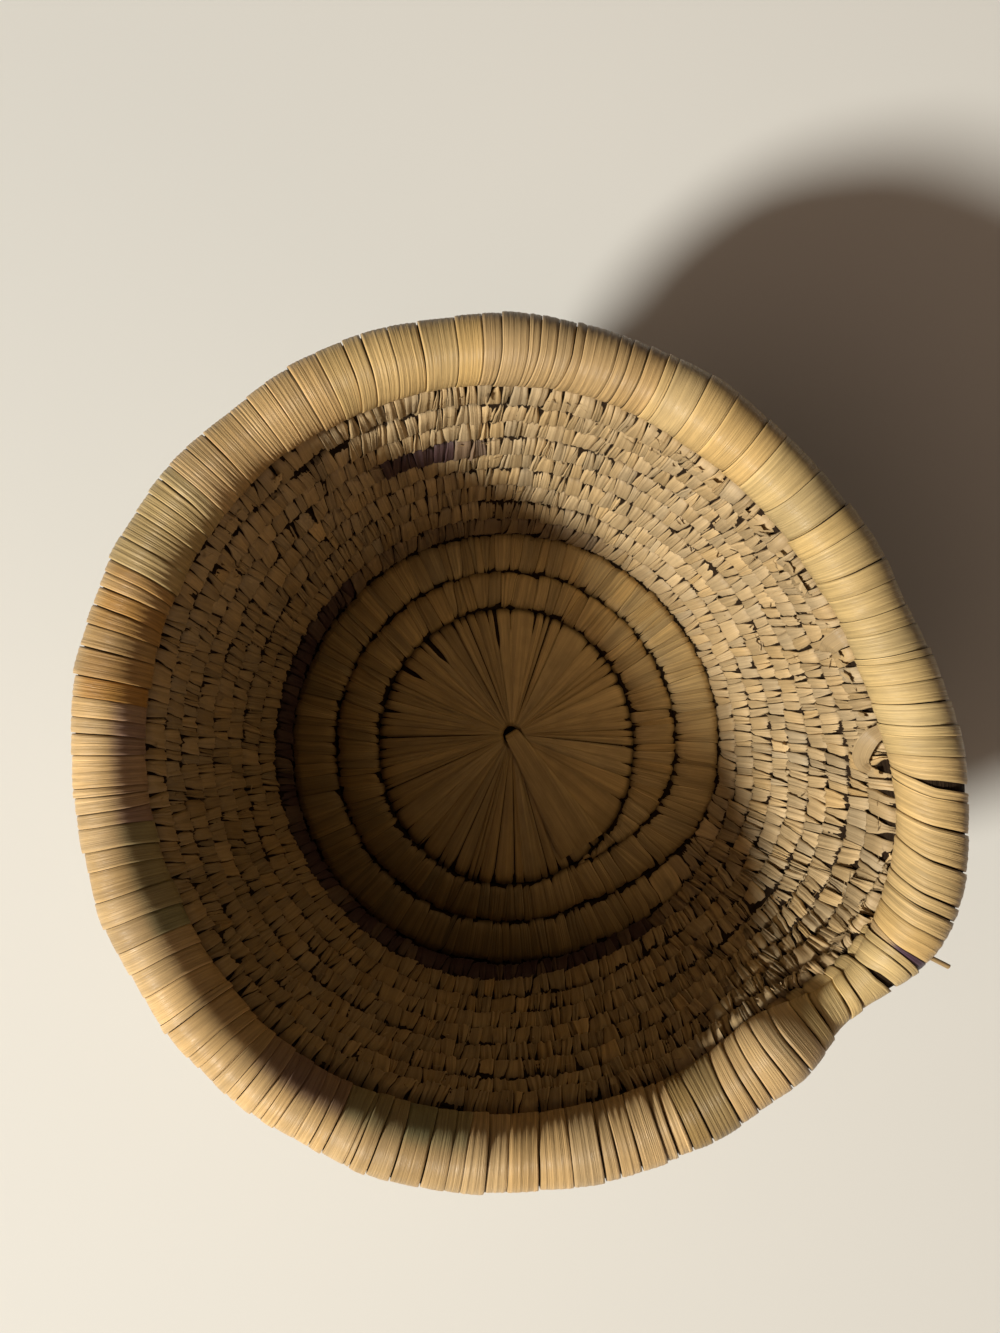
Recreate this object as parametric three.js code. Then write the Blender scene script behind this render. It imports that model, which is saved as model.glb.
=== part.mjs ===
// A coiled palm-leaf basket with a wrapped roll rim, open at the top.
// A grass coil is sewn round and round from a leaf rosette in the middle of the base, up the wall
// to the rim, and each turn steps out to the next in one narrow arc at the front right.
// Millimetres, +Z up. The origin is on the floor under the middle of the whole basket.
import * as THREE from "three";

// The rosette that starts the base
const ROSETTE_RADIUS = 66;
const ROSETTE_OVAL = 2.5; // added to the radius along Y and taken off it along X
const LEAF_COUNT = 24;
const LEAF_THICKNESS = 0.8;
const LEAF_CROWN = 0.6; // rise of a leaf's middle over its edges
const START_DISC_THICKNESS = 8;
const START_HOLE_RADIUS = 4.5;
const TAIL_ANGLE = 300; // way the loose end of the first leaf points, in degrees
const TAIL_REACH = 58;
const TAIL_WIDTH = 15;

// The coil that is sewn into the base and the wall
const RING_WIDTH = 20; // from one turn to the next in the base
const ROW_HEIGHT = 17.2; // from one turn to the next in the wall, along its skin
const COIL_THICKNESS = 13; // across the wall
const BASE_TURNS = 2;
const WALL_TURNS = 9;
const CORNER_RADIUS = 12; // at the coil's middle, where the base turns up into the wall
const CORNER_EASE = 2; // spare length along the skin at that corner
const FLARE_AT_FOOT = 15; // lean outwards of the wall, in degrees
const FLARE_AT_TOP = -2;
const STEP_ANGLE = 323; // where each turn steps out to the next, in degrees
const STEP_SPAN = 66;
const COIL_END_TAPER = 0.08; // share of its height that the coil keeps at its two tips
const COIL_TIP_SLIMNESS = 0.3; // share of its thickness that a coil of no height would keep

// The roll round the mouth
const RIM_THICKNESS = 24; // over the leaf strips
const RIM_OVERHANG = 5.5; // outwards from the middle of the wall's top edge
const STRIP_THICKNESS = 0.9;

// Clear space between pieces that lie against each other
const TURN_GAP = 0.6;
const BUTT_GAP = 0.3;
const LEAF_GAP = 0.3;
const STRIP_GAP = 0.4;
const SEAT_GAP = 0.3;

// How far the hand-made mouth and its roll leave the true circle
const FULL_SIDE_DEPTH = 5.7;
const FLAT_SIDE_DEPTH = 6.6;
const FLAT_FRONT_DEPTH = 5.1;
const SHOULDER_DEPTH = 8.5;
const NOTCH_DEPTH = 5.2;
const PINCH_DEPTH = 9.5;

// Where they do so: middle and half span in degrees, with the depth that is added to the radius
const MOUTH_DENTS = [
  { at: 133, span: 83, depth: FULL_SIDE_DEPTH }, // at the back left
  { at: 34, span: 57, depth: -FLAT_SIDE_DEPTH }, // at the back right
  { at: 287, span: 65, depth: -FLAT_FRONT_DEPTH },
  { at: 337, span: 44, depth: SHOULDER_DEPTH }, // past the end of the coil, at the right
  { at: 313, span: 19, depth: -NOTCH_DEPTH }, // just before it
];
const ROLL_DENTS = [
  { at: 323, span: 14, depth: -PINCH_DEPTH }, // over the end of the coil
];
const DENT_GROWTH = 1.5; // how late up the wall the mouth's dents come in

// The leaf strips round the roll, counter-clockwise from the right, each with its number of wraps
const RIM_STRIPS = [
  { dye: "pale", wraps: 12 },
  { dye: "gold", wraps: 5 },
  { dye: "tan", wraps: 7 },
  { dye: "gold", wraps: 5 },
  { dye: "tan", wraps: 6 },
  { dye: "pale", wraps: 4 },
  { dye: "orange", wraps: 4 },
  { dye: "purple", wraps: 5 },
  { dye: "green", wraps: 4 },
  { dye: "tan", wraps: 5 },
  { dye: "purple", wraps: 4 },
  { dye: "green", wraps: 5 },
  { dye: "tan", wraps: 7 },
  { dye: "gold", wraps: 2 },
  { dye: "tan", wraps: 4 },
  { dye: "pale", wraps: 4 },
  { dye: "gold", wraps: 7 },
];

// Fineness of the faceted surfaces
const STEPS_PER_TURN = 32;
const ROLL_SIDES = 8;

const COLOURS = {
  pale: 0xd6bf8a,
  gold: 0xc9a558,
  tan: 0xb59a68,
  orange: 0xb06a2c,
  purple: 0x6f5a66,
  green: 0x7c8060,
  sewn: 0xcdb68a,
  leaf: 0xb08d55,
  grass: 0x8c7144,
};

const DEGREE = Math.PI / 180;
const TURN = 2 * Math.PI;

// Values that follow from the driving dimensions
const turns = BASE_TURNS + WALL_TURNS;
const halfThickness = COIL_THICKNESS / 2;
const flatEnd = ROSETTE_RADIUS + (BASE_TURNS - 0.15) * RING_WIDTH; // the last ring's edge starts to rise
const footLean = 90 * DEGREE - FLARE_AT_FOOT * DEGREE;
const topLean = 90 * DEGREE - FLARE_AT_TOP * DEGREE;
const cornerEnd = flatEnd + CORNER_RADIUS * footLean;
const coilLow = ROSETTE_RADIUS + TURN_GAP;
const wallTop = ROSETTE_RADIUS + BASE_TURNS * RING_WIDTH + CORNER_EASE + WALL_TURNS * ROW_HEIGHT;
const lastTurnAt = wallTop - (ROW_HEIGHT - TURN_GAP) / 2;
const wallBend = (topLean - footLean) / (wallTop - cornerEnd);

function smooth(t) {
  const x = Math.min(1, Math.max(0, t));
  return x * x * (3 - 2 * x);
}

// The basket's middle skin at a length s from its axis: a flat base, a round corner and a bowed wall.
function skin(s) {
  if (s <= flatEnd) return { r: s, z: halfThickness, lean: 0 };
  if (s <= cornerEnd) {
    const lean = (s - flatEnd) / CORNER_RADIUS;
    return {
      r: flatEnd + CORNER_RADIUS * Math.sin(lean),
      z: halfThickness + CORNER_RADIUS * (1 - Math.cos(lean)),
      lean,
    };
  }
  const foot = skin(cornerEnd);
  const lean = footLean + wallBend * (s - cornerEnd);
  return {
    r: foot.r + (Math.sin(lean) - Math.sin(footLean)) / wallBend,
    z: foot.z + (Math.cos(footLean) - Math.cos(lean)) / wallBend,
    lean,
  };
}

// Sum of the dents at an angle, each a smooth hump of its own span.
function dentsAt(dents, angle) {
  return dents.reduce((sum, dent) => {
    const off = Math.abs(((((angle / DEGREE - dent.at) % 360) + 540) % 360) - 180);
    return off < dent.span ? sum + dent.depth * Math.cos((Math.PI / 2) * (off / dent.span)) ** 2 : sum;
  }, 0);
}

// How far the hand-made skin lies outside the true round one.
function outOfRound(s, angle) {
  const wallShare = Math.min(1, Math.max(0, (s - flatEnd) / (wallTop - flatEnd)));
  const ovalShare = Math.min(s / ROSETTE_RADIUS, Math.max(0, (flatEnd - s) / (flatEnd - ROSETTE_RADIUS)));
  const oval = ROSETTE_OVAL * ovalShare * Math.cos(2 * angle);
  return dentsAt(MOUTH_DENTS, angle) * wallShare ** DENT_GROWTH - oval;
}

// A point of the basket: on the skin at s, then along the skin and out of the basket from there.
function basketPoint(s, angle, along, out) {
  const { r, z, lean } = skin(s);
  const radius = r + outOfRound(s + along, angle) + along * Math.cos(lean) + out * Math.sin(lean);
  const height = z + along * Math.sin(lean) - out * Math.cos(lean);
  return new THREE.Vector3(radius * Math.cos(angle), radius * Math.sin(angle), height);
}

// A closed solid through rings of points, either looped or closed by flat ends.
// Each ring runs counter-clockwise as seen from further along.
function loft(rings, looped) {
  const sides = rings[0].length;
  const positions = rings.flat().flatMap((p) => [p.x, p.y, p.z]);
  const faces = [];
  const spans = looped ? rings.length : rings.length - 1;
  for (let k = 0; k < spans; k++) {
    const here = k * sides;
    const next = ((k + 1) % rings.length) * sides;
    for (let i = 0; i < sides; i++) {
      const j = (i + 1) % sides;
      faces.push(here + i, here + j, next + i, here + j, next + j, next + i);
    }
  }
  const last = (rings.length - 1) * sides;
  for (let i = 1; !looped && i < sides - 1; i++) {
    faces.push(0, i + 1, i, last, last + i, last + i + 1);
  }
  const geometry = new THREE.BufferGeometry();
  geometry.setAttribute("position", new THREE.Float32BufferAttribute(positions, 3));
  geometry.setIndex(faces);
  geometry.computeVertexNormals();
  return geometry;
}

const basket = new THREE.Group();
basket.name = "coiled_basket";

function addPiece(name, geometry, colour, roughness) {
  const material = new THREE.MeshStandardMaterial({ color: COLOURS[colour], roughness, metalness: 0 });
  const piece = new THREE.Mesh(geometry, material);
  piece.name = name;
  basket.add(piece);
}

// The start disc: a flat pad of coiled grass with a hole, which the rosette's leaves are folded over
const discMiddle = halfThickness;
const discHalf = START_DISC_THICKNESS / 2;
const leafStack = LEAF_GAP + LEAF_THICKNESS;
const discRadius = ROSETTE_RADIUS - leafStack;
const discEdge = discHalf * 0.6; // width of the slope that rounds the disc's rim

function discRing(angle) {
  const outline = [
    [START_HOLE_RADIUS, discHalf],
    [discRadius - discEdge, discHalf],
    [discRadius, discHalf / 2],
    [discRadius, -discHalf / 2],
    [discRadius - discEdge, -discHalf],
    [START_HOLE_RADIUS, -discHalf],
  ];
  return outline.map(([r, z]) => rosettePoint(r, angle, z));
}

function rosettePoint(r, angle, z) {
  const radius = r + outOfRound(r, angle);
  return new THREE.Vector3(radius * Math.cos(angle), radius * Math.sin(angle), discMiddle + z);
}

const discRings = [];
for (let k = 0; k < LEAF_COUNT; k++) discRings.push(discRing(((k + 0.5) / LEAF_COUNT) * TURN));
addPiece("start_disc", loft(discRings, true), "grass", 0.9);

// The rosette: leaves laid over the disc, round its rim, and back through the hole
function rosetteLeaf(middle) {
  const holeRadius = START_HOLE_RADIUS - leafStack;
  const inner = { r: START_HOLE_RADIUS - LEAF_GAP, z: discHalf + LEAF_GAP };
  const sloped = { r: discRadius - discEdge, z: discHalf + LEAF_GAP };
  const rim = { r: discRadius + LEAF_GAP, z: discHalf / 2 + LEAF_GAP / 2 };
  const stations = [
    { under: inner, over: { r: holeRadius, z: discHalf + leafStack } },
    { under: sloped, over: { r: sloped.r, z: discHalf + leafStack }, crown: LEAF_CROWN },
    { under: rim, over: { r: ROSETTE_RADIUS, z: discHalf / 2 + leafStack / 2 } },
  ];
  const mirrored = stations.map(({ under, over, crown }) => ({
    under: { r: under.r, z: -under.z },
    over: { r: over.r, z: -over.z },
    crown: crown && -crown,
  }));
  const rings = [...stations, ...mirrored.reverse()].map(({ under, over, crown = 0 }) => {
    const edge = (place) => Math.PI / LEAF_COUNT - LEAF_GAP / 2 / place.r;
    return [
      rosettePoint(under.r, middle - edge(under), under.z),
      rosettePoint(under.r, middle + edge(under), under.z),
      rosettePoint(over.r, middle + edge(over), over.z),
      rosettePoint(over.r, middle, over.z + crown),
      rosettePoint(over.r, middle - edge(over), over.z),
    ];
  });
  return loft(rings, true);
}

for (let k = 0; k < LEAF_COUNT; k++) {
  const number = String(k + 1).padStart(2, "0");
  addPiece(`rosette_leaf_${number}`, rosetteLeaf((k / LEAF_COUNT) * TURN), "leaf", 0.6);
}

// The loose end of the first leaf: it comes up through the hole and lies down over the rosette
function startTail() {
  const rosetteTop = discHalf + leafStack + LEAF_CROWN + LEAF_GAP;
  const neck = START_HOLE_RADIUS - leafStack - LEAF_GAP;
  const stemHalf = LEAF_THICKNESS / 2;
  const bend = 2 * LEAF_THICKNESS;
  const stations = [
    { r: 0, z: -discHalf, lean: 90, width: neck },
    { r: 0, z: discHalf, lean: 90, width: neck },
    { r: bend, z: rosetteTop + stemHalf + bend, lean: 45, width: neck * 1.4 },
    { r: neck + 2 * bend, z: rosetteTop + stemHalf + bend, lean: -20, width: TAIL_WIDTH / 2 },
    { r: TAIL_REACH / 2, z: rosetteTop + stemHalf, lean: 0, width: TAIL_WIDTH },
    { r: TAIL_REACH, z: rosetteTop + stemHalf, lean: 0, width: TAIL_WIDTH * 0.7 },
  ];
  const way = new THREE.Vector3(Math.cos(TAIL_ANGLE * DEGREE), Math.sin(TAIL_ANGLE * DEGREE), 0);
  const up = new THREE.Vector3(0, 0, 1);
  const side = new THREE.Vector3().crossVectors(up, way);
  const rings = stations.map(({ r, z, lean, width }) => {
    const middle = way.clone().multiplyScalar(r).addScaledVector(up, discMiddle + z);
    const normal = up.clone().multiplyScalar(Math.cos(lean * DEGREE));
    normal.addScaledVector(way, -Math.sin(lean * DEGREE));
    const corner = (across, over) =>
      middle.clone().addScaledVector(side, (across * width) / 2).addScaledVector(normal, over * stemHalf);
    return [corner(-1, -1), corner(1, -1), corner(1, 1), corner(-1, 1)];
  });
  return loft(rings, false);
}
addPiece("start_tail", startTail(), "leaf", 0.6);

// The coil: one bundle that winds from the rosette to the rim, laid in lengths of one turn.
// Turn k keeps its place along the skin until the step, where it moves out by one pitch.
function levelAt(turn) {
  const nearest = Math.floor(turn + 0.5);
  return nearest - 1 + smooth(((turn - nearest) * 360) / STEP_SPAN + 0.5);
}

// Length along the skin at which the turn of a level starts.
function startAt(level) {
  const rows = Math.max(0, level - BASE_TURNS);
  return ROSETTE_RADIUS + RING_WIDTH * (level - rows) + ROW_HEIGHT * rows;
}

// The coil's lower and upper edge along the skin. Its first and last tips taper off,
// because the rosette and the rim keep the room inside them.
function edgesAt(turn) {
  const level = levelAt(turn);
  const ease = CORNER_EASE * Math.min(1, Math.max(0, level - BASE_TURNS + 1));
  return {
    low: Math.max(startAt(level) + TURN_GAP + ease, coilLow),
    high: Math.min(startAt(level + 1) + ease, wallTop),
  };
}

// A flattened bundle: eight corners with flat faces up, down and at both edges.
const BUNDLE_CORNERS = [
  [1, -0.45],
  [1, 0.45],
  [0.6, 1],
  [-0.6, 1],
  [-1, 0.45],
  [-1, -0.45],
  [-0.6, -1],
  [0.6, -1],
];

function coilAngle(turn) {
  return STEP_ANGLE * DEGREE + turn * TURN;
}

function coilRing(turn) {
  const { low, high } = edgesAt(turn);
  const middle = (low + high) / 2;
  const half = (high - low) / 2;
  const slim = halfThickness * Math.min(1, COIL_TIP_SLIMNESS + (6 * half) / ROW_HEIGHT);
  return BUNDLE_CORNERS.map(([along, out]) => {
    const corner = basketPoint(middle, coilAngle(turn), along * half, out * slim);
    corner.z = Math.max(0, corner.z); // pressed flat where it meets the floor
    return corner;
  });
}

// Turn at which the smooth step has covered a share of its rise, counted from a whole turn.
function stepTurn(share) {
  let low = -0.5;
  let high = 0.5;
  for (let k = 0; k < 40; k++) {
    const middle = (low + high) / 2;
    if (smooth((middle * 360) / STEP_SPAN + 0.5) < share) low = middle;
    else high = middle;
  }
  return low;
}

function coilLength(from, to) {
  const butt = BUTT_GAP / 2 / TURN / skin(edgesAt(from).low).r;
  const start = from + butt;
  const end = to - butt;
  const steps = Math.ceil((end - start) * STEPS_PER_TURN);
  const rings = [];
  for (let k = 0; k <= steps; k++) rings.push(coilRing(start + ((end - start) * k) / steps));
  return rings;
}

const coilTurns = [];
for (let k = 0; k < turns; k++) {
  const from = k === 0 ? stepTurn(COIL_END_TAPER) : k;
  const to = k === turns - 1 ? turns + stepTurn(1 - COIL_END_TAPER) : k + 1;
  const rings = coilLength(from, to);
  coilTurns.push(rings);
  const name = k < BASE_TURNS ? `base_coil_${k + 1}` : `wall_coil_${k + 1 - BASE_TURNS}`;
  addPiece(name, loft(rings, false), "sewn", 0.8);
}

// The rim: a thick grass hoop on the wall's top edge, wrapped in leaf strips
const topEdgeHalf = halfThickness * BUNDLE_CORNERS[1][1];

function rollRadius(angle) {
  return (RIM_THICKNESS + dentsAt(ROLL_DENTS, angle)) / 2;
}

// A point of the roll: turn is 0 on top of it and grows outwards, inset is below its surface.
function rollPoint(angle, turn, inset) {
  const radius = rollRadius(angle);
  const past = Math.max(0, RIM_OVERHANG - topEdgeHalf);
  const rise = Math.sqrt(Math.max(0, (radius + SEAT_GAP) ** 2 - past ** 2));
  const middle = basketPoint(lastTurnAt, angle, wallTop - lastTurnAt + rise, RIM_OVERHANG);
  const reach = radius - inset;
  const outwards = reach * Math.sin(turn);
  const upwards = reach * Math.cos(turn);
  return middle.add(new THREE.Vector3(outwards * Math.cos(angle), outwards * Math.sin(angle), upwards));
}

const wrapCount = RIM_STRIPS.reduce((sum, strip) => sum + strip.wraps, 0);
const wrapSpan = TURN / wrapCount;
const hoopInset = STRIP_THICKNESS + STRIP_GAP;

const hoopRings = [];
for (let k = 0; k < wrapCount; k++) {
  const ring = [];
  for (let i = 0; i < ROLL_SIDES; i++) {
    ring.push(rollPoint(k * wrapSpan, (i / ROLL_SIDES) * TURN, hoopInset));
  }
  hoopRings.push(ring);
}
addPiece("rim_hoop", loft(hoopRings, true), "grass", 0.9);

// A strip winds round the hoop as a flat ribbon and moves on by its own width each time.
// Strips are joined end to end on the underside of the roll's outer face.
const joinAt = 3 * (TURN / ROLL_SIDES);
const mouthRadius = skin(wallTop).r - RIM_THICKNESS / 2;
const stripHalf = (wrapSpan - (STRIP_GAP * 1.5) / mouthRadius) / 2;

function stripRing(angle, turn) {
  return [
    rollPoint(angle - stripHalf, turn, STRIP_THICKNESS),
    rollPoint(angle + stripHalf, turn, STRIP_THICKNESS),
    rollPoint(angle + stripHalf, turn, 0),
    rollPoint(angle - stripHalf, turn, 0),
  ];
}

function rimStrip(firstWrap, wraps) {
  const end = BUTT_GAP / RIM_THICKNESS;
  const rings = [];
  const steps = wraps * ROLL_SIDES;
  for (let k = 0; k <= steps; k++) {
    let turn = (k / ROLL_SIDES) * TURN;
    if (k === 0) turn += end;
    if (k === steps) turn -= end;
    rings.push(stripRing((firstWrap + turn / TURN) * wrapSpan, joinAt + turn));
  }
  return rings;
}

const stripRings = [];
let firstWrap = 0;
RIM_STRIPS.forEach(({ dye, wraps }, k) => {
  const rings = rimStrip(firstWrap, wraps);
  stripRings.push(rings);
  addPiece(`rim_strip_${String(k + 1).padStart(2, "0")}`, loft(rings, false), dye, 0.5);
  firstWrap += wraps;
});

// The whole basket stands over the origin, with the rosette a little off its middle
const middle = new THREE.Box3().setFromObject(basket).getCenter(new THREE.Vector3());
basket.position.set(-middle.x, -middle.y, 0);

// Least distance between the neighbouring edges of two rows of rings, one whole winding apart
function leastGap(rings, perWinding, edgeHere, edgeNext) {
  let least = Infinity;
  for (let k = 0; k + perWinding < rings.length; k++) {
    const here = edgeHere.map((i) => rings[k][i]);
    const next = edgeNext.map((i) => rings[k + perWinding][i]);
    here.forEach((a) => next.forEach((b) => (least = Math.min(least, a.distanceTo(b)))));
  }
  return least;
}

const stripGap = Math.min(...stripRings.map((rings) => leastGap(rings, ROLL_SIDES, [1, 2], [0, 3])));
const wholeCoil = [];
for (let k = 0; k <= turns * STEPS_PER_TURN - STEPS_PER_TURN / 2; k++) {
  wholeCoil.push(coilRing(k / STEPS_PER_TURN));
}
const coilGap = leastGap(wholeCoil, STEPS_PER_TURN, [0, 1], [4, 5]);
console.log(`least gap between turns of the coil: ${coilGap.toFixed(2)} mm`);
console.log(`least gap between wraps of a rim strip: ${stripGap.toFixed(2)} mm`);

export default basket;
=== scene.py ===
"""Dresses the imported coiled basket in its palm-leaf strips and sets it on a plain stage."""

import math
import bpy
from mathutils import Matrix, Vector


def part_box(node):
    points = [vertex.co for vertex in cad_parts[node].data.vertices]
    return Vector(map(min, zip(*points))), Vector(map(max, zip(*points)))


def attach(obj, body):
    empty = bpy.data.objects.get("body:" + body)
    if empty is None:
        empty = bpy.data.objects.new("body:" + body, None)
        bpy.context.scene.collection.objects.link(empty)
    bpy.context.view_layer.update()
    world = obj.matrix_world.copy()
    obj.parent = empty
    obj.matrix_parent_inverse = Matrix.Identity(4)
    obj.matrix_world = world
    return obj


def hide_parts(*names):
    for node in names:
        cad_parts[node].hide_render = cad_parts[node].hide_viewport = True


bl_info = {
    "name": "Coiled Palm-Leaf Basket",
    "version": (1, 0, 0),
    "blender": (4, 5, 0),
    "location": "View3D > Sidebar > Basket",
    "description": "Sews, wraps and lights a coiled basket on its packed frame",
    "category": "Add Mesh",
}

from functools import partial
from itertools import islice
from typing import NamedTuple

import bpy
import numpy as np
from bpy.props import FloatProperty, FloatVectorProperty, IntProperty, PointerProperty
from bpy.types import Operator, Panel, PropertyGroup
from mathutils import Matrix, Vector

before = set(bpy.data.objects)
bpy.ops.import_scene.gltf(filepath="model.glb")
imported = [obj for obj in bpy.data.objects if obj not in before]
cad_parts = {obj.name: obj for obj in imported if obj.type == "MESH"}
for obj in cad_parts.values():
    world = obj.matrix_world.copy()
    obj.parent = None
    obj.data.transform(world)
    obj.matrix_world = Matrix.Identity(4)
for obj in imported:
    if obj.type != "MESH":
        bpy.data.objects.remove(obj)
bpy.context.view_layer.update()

MM = 0.001
DEGREE = math.pi / 180
TURN = 2 * math.pi

# The basket's shape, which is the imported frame's own
ROSETTE_RADIUS = 66 * MM
ROSETTE_OVAL = 2.5 * MM
START_DISC_THICKNESS = 8 * MM
START_HOLE_RADIUS = 4.5 * MM
RING_WIDTH = 20 * MM
ROW_HEIGHT = 17.2 * MM
COIL_THICKNESS = 13 * MM
BASE_TURNS = 2
WALL_TURNS = 9
CORNER_RADIUS = 12 * MM
CORNER_EASE = 2 * MM
CORNER_LEAD = 0.15  # share of a ring's width by which the corner starts inside the base's edge
FOOT_LEAN = (90 - 15) * DEGREE
TOP_LEAN = (90 + 2) * DEGREE
STEP_ANGLE = 323 * DEGREE
STEP_SPAN = 66  # degrees
COIL_END_TAPER = 0.08
COIL_TIP_SLIMNESS = 0.3
COIL_TIP_GROWTH = 6  # how fast the tip's thickness follows its height
RIM_THICKNESS = 24 * MM
RIM_OVERHANG = 5.5 * MM
TURN_GAP = 0.6 * MM
SEAT_GAP = 0.3 * MM
DENT_GROWTH = 1.5
TOP_EDGE_SHARE = 0.45  # half the flat top edge of the last turn, as a share of half the thickness
# Middle and half span in degrees, and depth
MOUTH_DENTS = [
    (133, 83, 5.7 * MM),
    (34, 57, -6.6 * MM),
    (287, 65, -5.1 * MM),
    (337, 44, 8.5 * MM),
    (313, 19, -5.2 * MM),
]
ROLL_DENTS = [(323, 14, -9.5 * MM)]

TURNS = BASE_TURNS + WALL_TURNS
HALF_THICKNESS = COIL_THICKNESS / 2
FLAT_END = ROSETTE_RADIUS + (BASE_TURNS - CORNER_LEAD) * RING_WIDTH
CORNER_END = FLAT_END + CORNER_RADIUS * FOOT_LEAN
COIL_LOW = ROSETTE_RADIUS + TURN_GAP
WALL_TOP = ROSETTE_RADIUS + BASE_TURNS * RING_WIDTH + CORNER_EASE + WALL_TURNS * ROW_HEIGHT
LAST_TURN_AT = WALL_TOP - (ROW_HEIGHT - TURN_GAP) / 2
WALL_BEND = (TOP_LEAN - FOOT_LEAN) / (WALL_TOP - CORNER_END)
AXIS = sum(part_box("start_disc"), Vector()) / 2  # the rosette's middle

# How the hand-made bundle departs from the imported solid
BUNDLE_INSET = 1.0 * MM  # the bare bundle lies this far inside the sewn coil
BUNDLE_SWELL = 2.1 * MM  # and swells by this much where its turns press on each other
COIL_SWAY = 0.8 * MM
ROW_WANDER = 0.9 * MM
ROLL_LUMP = 0.45 * MM
FLOOR_CLEARANCE = 0.1 * MM
LEAVES_MEET = (2.5 * MM, 5.5 * MM, 0)  # from the rosette's middle
# Waves in turns of the coil or angles of the roll: rate, phase and share
SWAY_WAVES = [(9.1, 0.4, 0.5), (23.7, 0, 0.5)]
WANDER_WAVES = [(5 * TURN + 0.4, 0, 1), (13 * TURN + 0.6, 0, 0.6)]  # a little out of step with the next turn
LUMP_WAVES = [(7, 1.3, 0.5), (13, 0.4, 0.5), (23, 2.2, 0.4)]

# Seeds of the random draws, with one more for each turn of the coil
BASE_SEED = 10
WALL_SEED = 30
ROSETTE_SEED = 5
RIM_SEED = 100
FRAY_SEED = 77
TAB_SEED = 78

# A second map for baking, with a cell of its own for each strip
BAKE_MAP = "OFBake"
CELL_MARGIN = 0.06
STRIP_ASPECT = 12  # a strip is about this many times as long as it is wide


def smooth(t):
    x = np.clip(t, 0, 1)
    return x * x * (3 - 2 * x)


def waves(at, terms):
    return sum(share * np.sin(rate * at + phase) for rate, phase, share in terms)


def skin(s):
    """Radius, height and lean of the basket's middle skin at a length s from its axis."""
    corner = np.clip((s - FLAT_END) / CORNER_RADIUS, 0, FOOT_LEAN)
    lean = corner + WALL_BEND * np.maximum(0, s - CORNER_END)
    radius = np.minimum(s, FLAT_END) + CORNER_RADIUS * np.sin(corner)
    height = HALF_THICKNESS + CORNER_RADIUS * (1 - np.cos(corner))
    radius = radius + (np.sin(lean) - np.sin(corner)) / WALL_BEND
    height = height + (np.cos(corner) - np.cos(lean)) / WALL_BEND
    return radius, height, lean


def degrees_off(degrees, middle):
    """Angle from a middle, between -180 and 180."""
    return (degrees - middle + 180) % 360 - 180


def dents_at(dents, angle):
    """Sum of the dents at an angle, each a smooth hump of its own span."""
    degrees = np.degrees(angle)
    total = np.zeros_like(degrees)
    for middle, span, depth in dents:
        off = np.abs(degrees_off(degrees, middle))
        total = total + np.where(off < span, depth * np.cos(np.pi / 2 * off / span) ** 2, 0)
    return total


def out_of_round(s, angle):
    wall_share = np.clip((s - FLAT_END) / (WALL_TOP - FLAT_END), 0, 1)
    flat_left = np.maximum(0, (FLAT_END - s) / (FLAT_END - ROSETTE_RADIUS))
    oval = ROSETTE_OVAL * np.minimum(s / ROSETTE_RADIUS, flat_left) * np.cos(2 * angle)
    return dents_at(MOUTH_DENTS, angle) * wall_share**DENT_GROWTH - oval


def around_axis(radius, angle, height):
    radius, angle, height = np.broadcast_arrays(radius, angle, height)
    return np.stack([AXIS.x + radius * np.cos(angle), AXIS.y + radius * np.sin(angle), height], axis=-1)


def basket_point(s, angle, along, out):
    """A point of the basket: on the skin at s, then along the skin and out of the basket."""
    radius, height, lean = skin(s)
    radius = radius + out_of_round(s + along, angle) + along * np.cos(lean) + out * np.sin(lean)
    return around_axis(radius, angle, height + along * np.sin(lean) - out * np.cos(lean))


def step_rise(turns):
    """Share of the coil's step that it has taken at some turns past the step's middle."""
    return smooth(turns * 360 / STEP_SPAN + 0.5)


def level_at(turn):
    nearest = np.floor(turn + 0.5)
    return nearest - 1 + step_rise(turn - nearest)


def start_at(level):
    """Length along the skin at which the turn of a level starts."""
    rows = np.maximum(0, level - BASE_TURNS)
    ease = CORNER_EASE * np.clip(level - BASE_TURNS + 1, 0, 1)
    return ROSETTE_RADIUS + RING_WIDTH * (level - rows) + ROW_HEIGHT * rows + ease


def edges_at(turn):
    """The coil's lower and upper edge along the skin, with no gap to the next turn."""
    level = level_at(turn)
    low = np.maximum(start_at(level), COIL_LOW)
    return low, np.minimum(start_at(level + 1), WALL_TOP)


def step_turn(share):
    """Turn at which the smooth step has covered a share of its rise, counted from a whole turn."""
    turns = np.linspace(-0.5, 0.5, 20001)
    return float(np.interp(share, step_rise(turns), turns))


COIL_START = step_turn(COIL_END_TAPER)
COIL_END = TURNS + step_turn(1 - COIL_END_TAPER)


def turn_span(number):
    """First and last turn of a length of the coil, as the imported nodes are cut."""
    return number if number else COIL_START, COIL_END if number == TURNS - 1 else number + 1


def coil_angle(turn):
    return STEP_ANGLE + turn * TURN


def coil_radius(number):
    """Mean radius of a turn of the coil."""
    return float(skin(sum(edges_at(np.array(number + 0.5))) / 2)[0])


def row_wander(turn):
    """How far a turn of the wall wanders up or down; the base and the last turn keep to their place."""
    on_wall = smooth(turn - BASE_TURNS - 0.5) * smooth(TURNS - 1 - turn)
    return ROW_WANDER * on_wall * waves(turn, WANDER_WAVES)


def squared(x, squareness):
    return np.sign(x) * np.abs(x) ** (2 / squareness)


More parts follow.
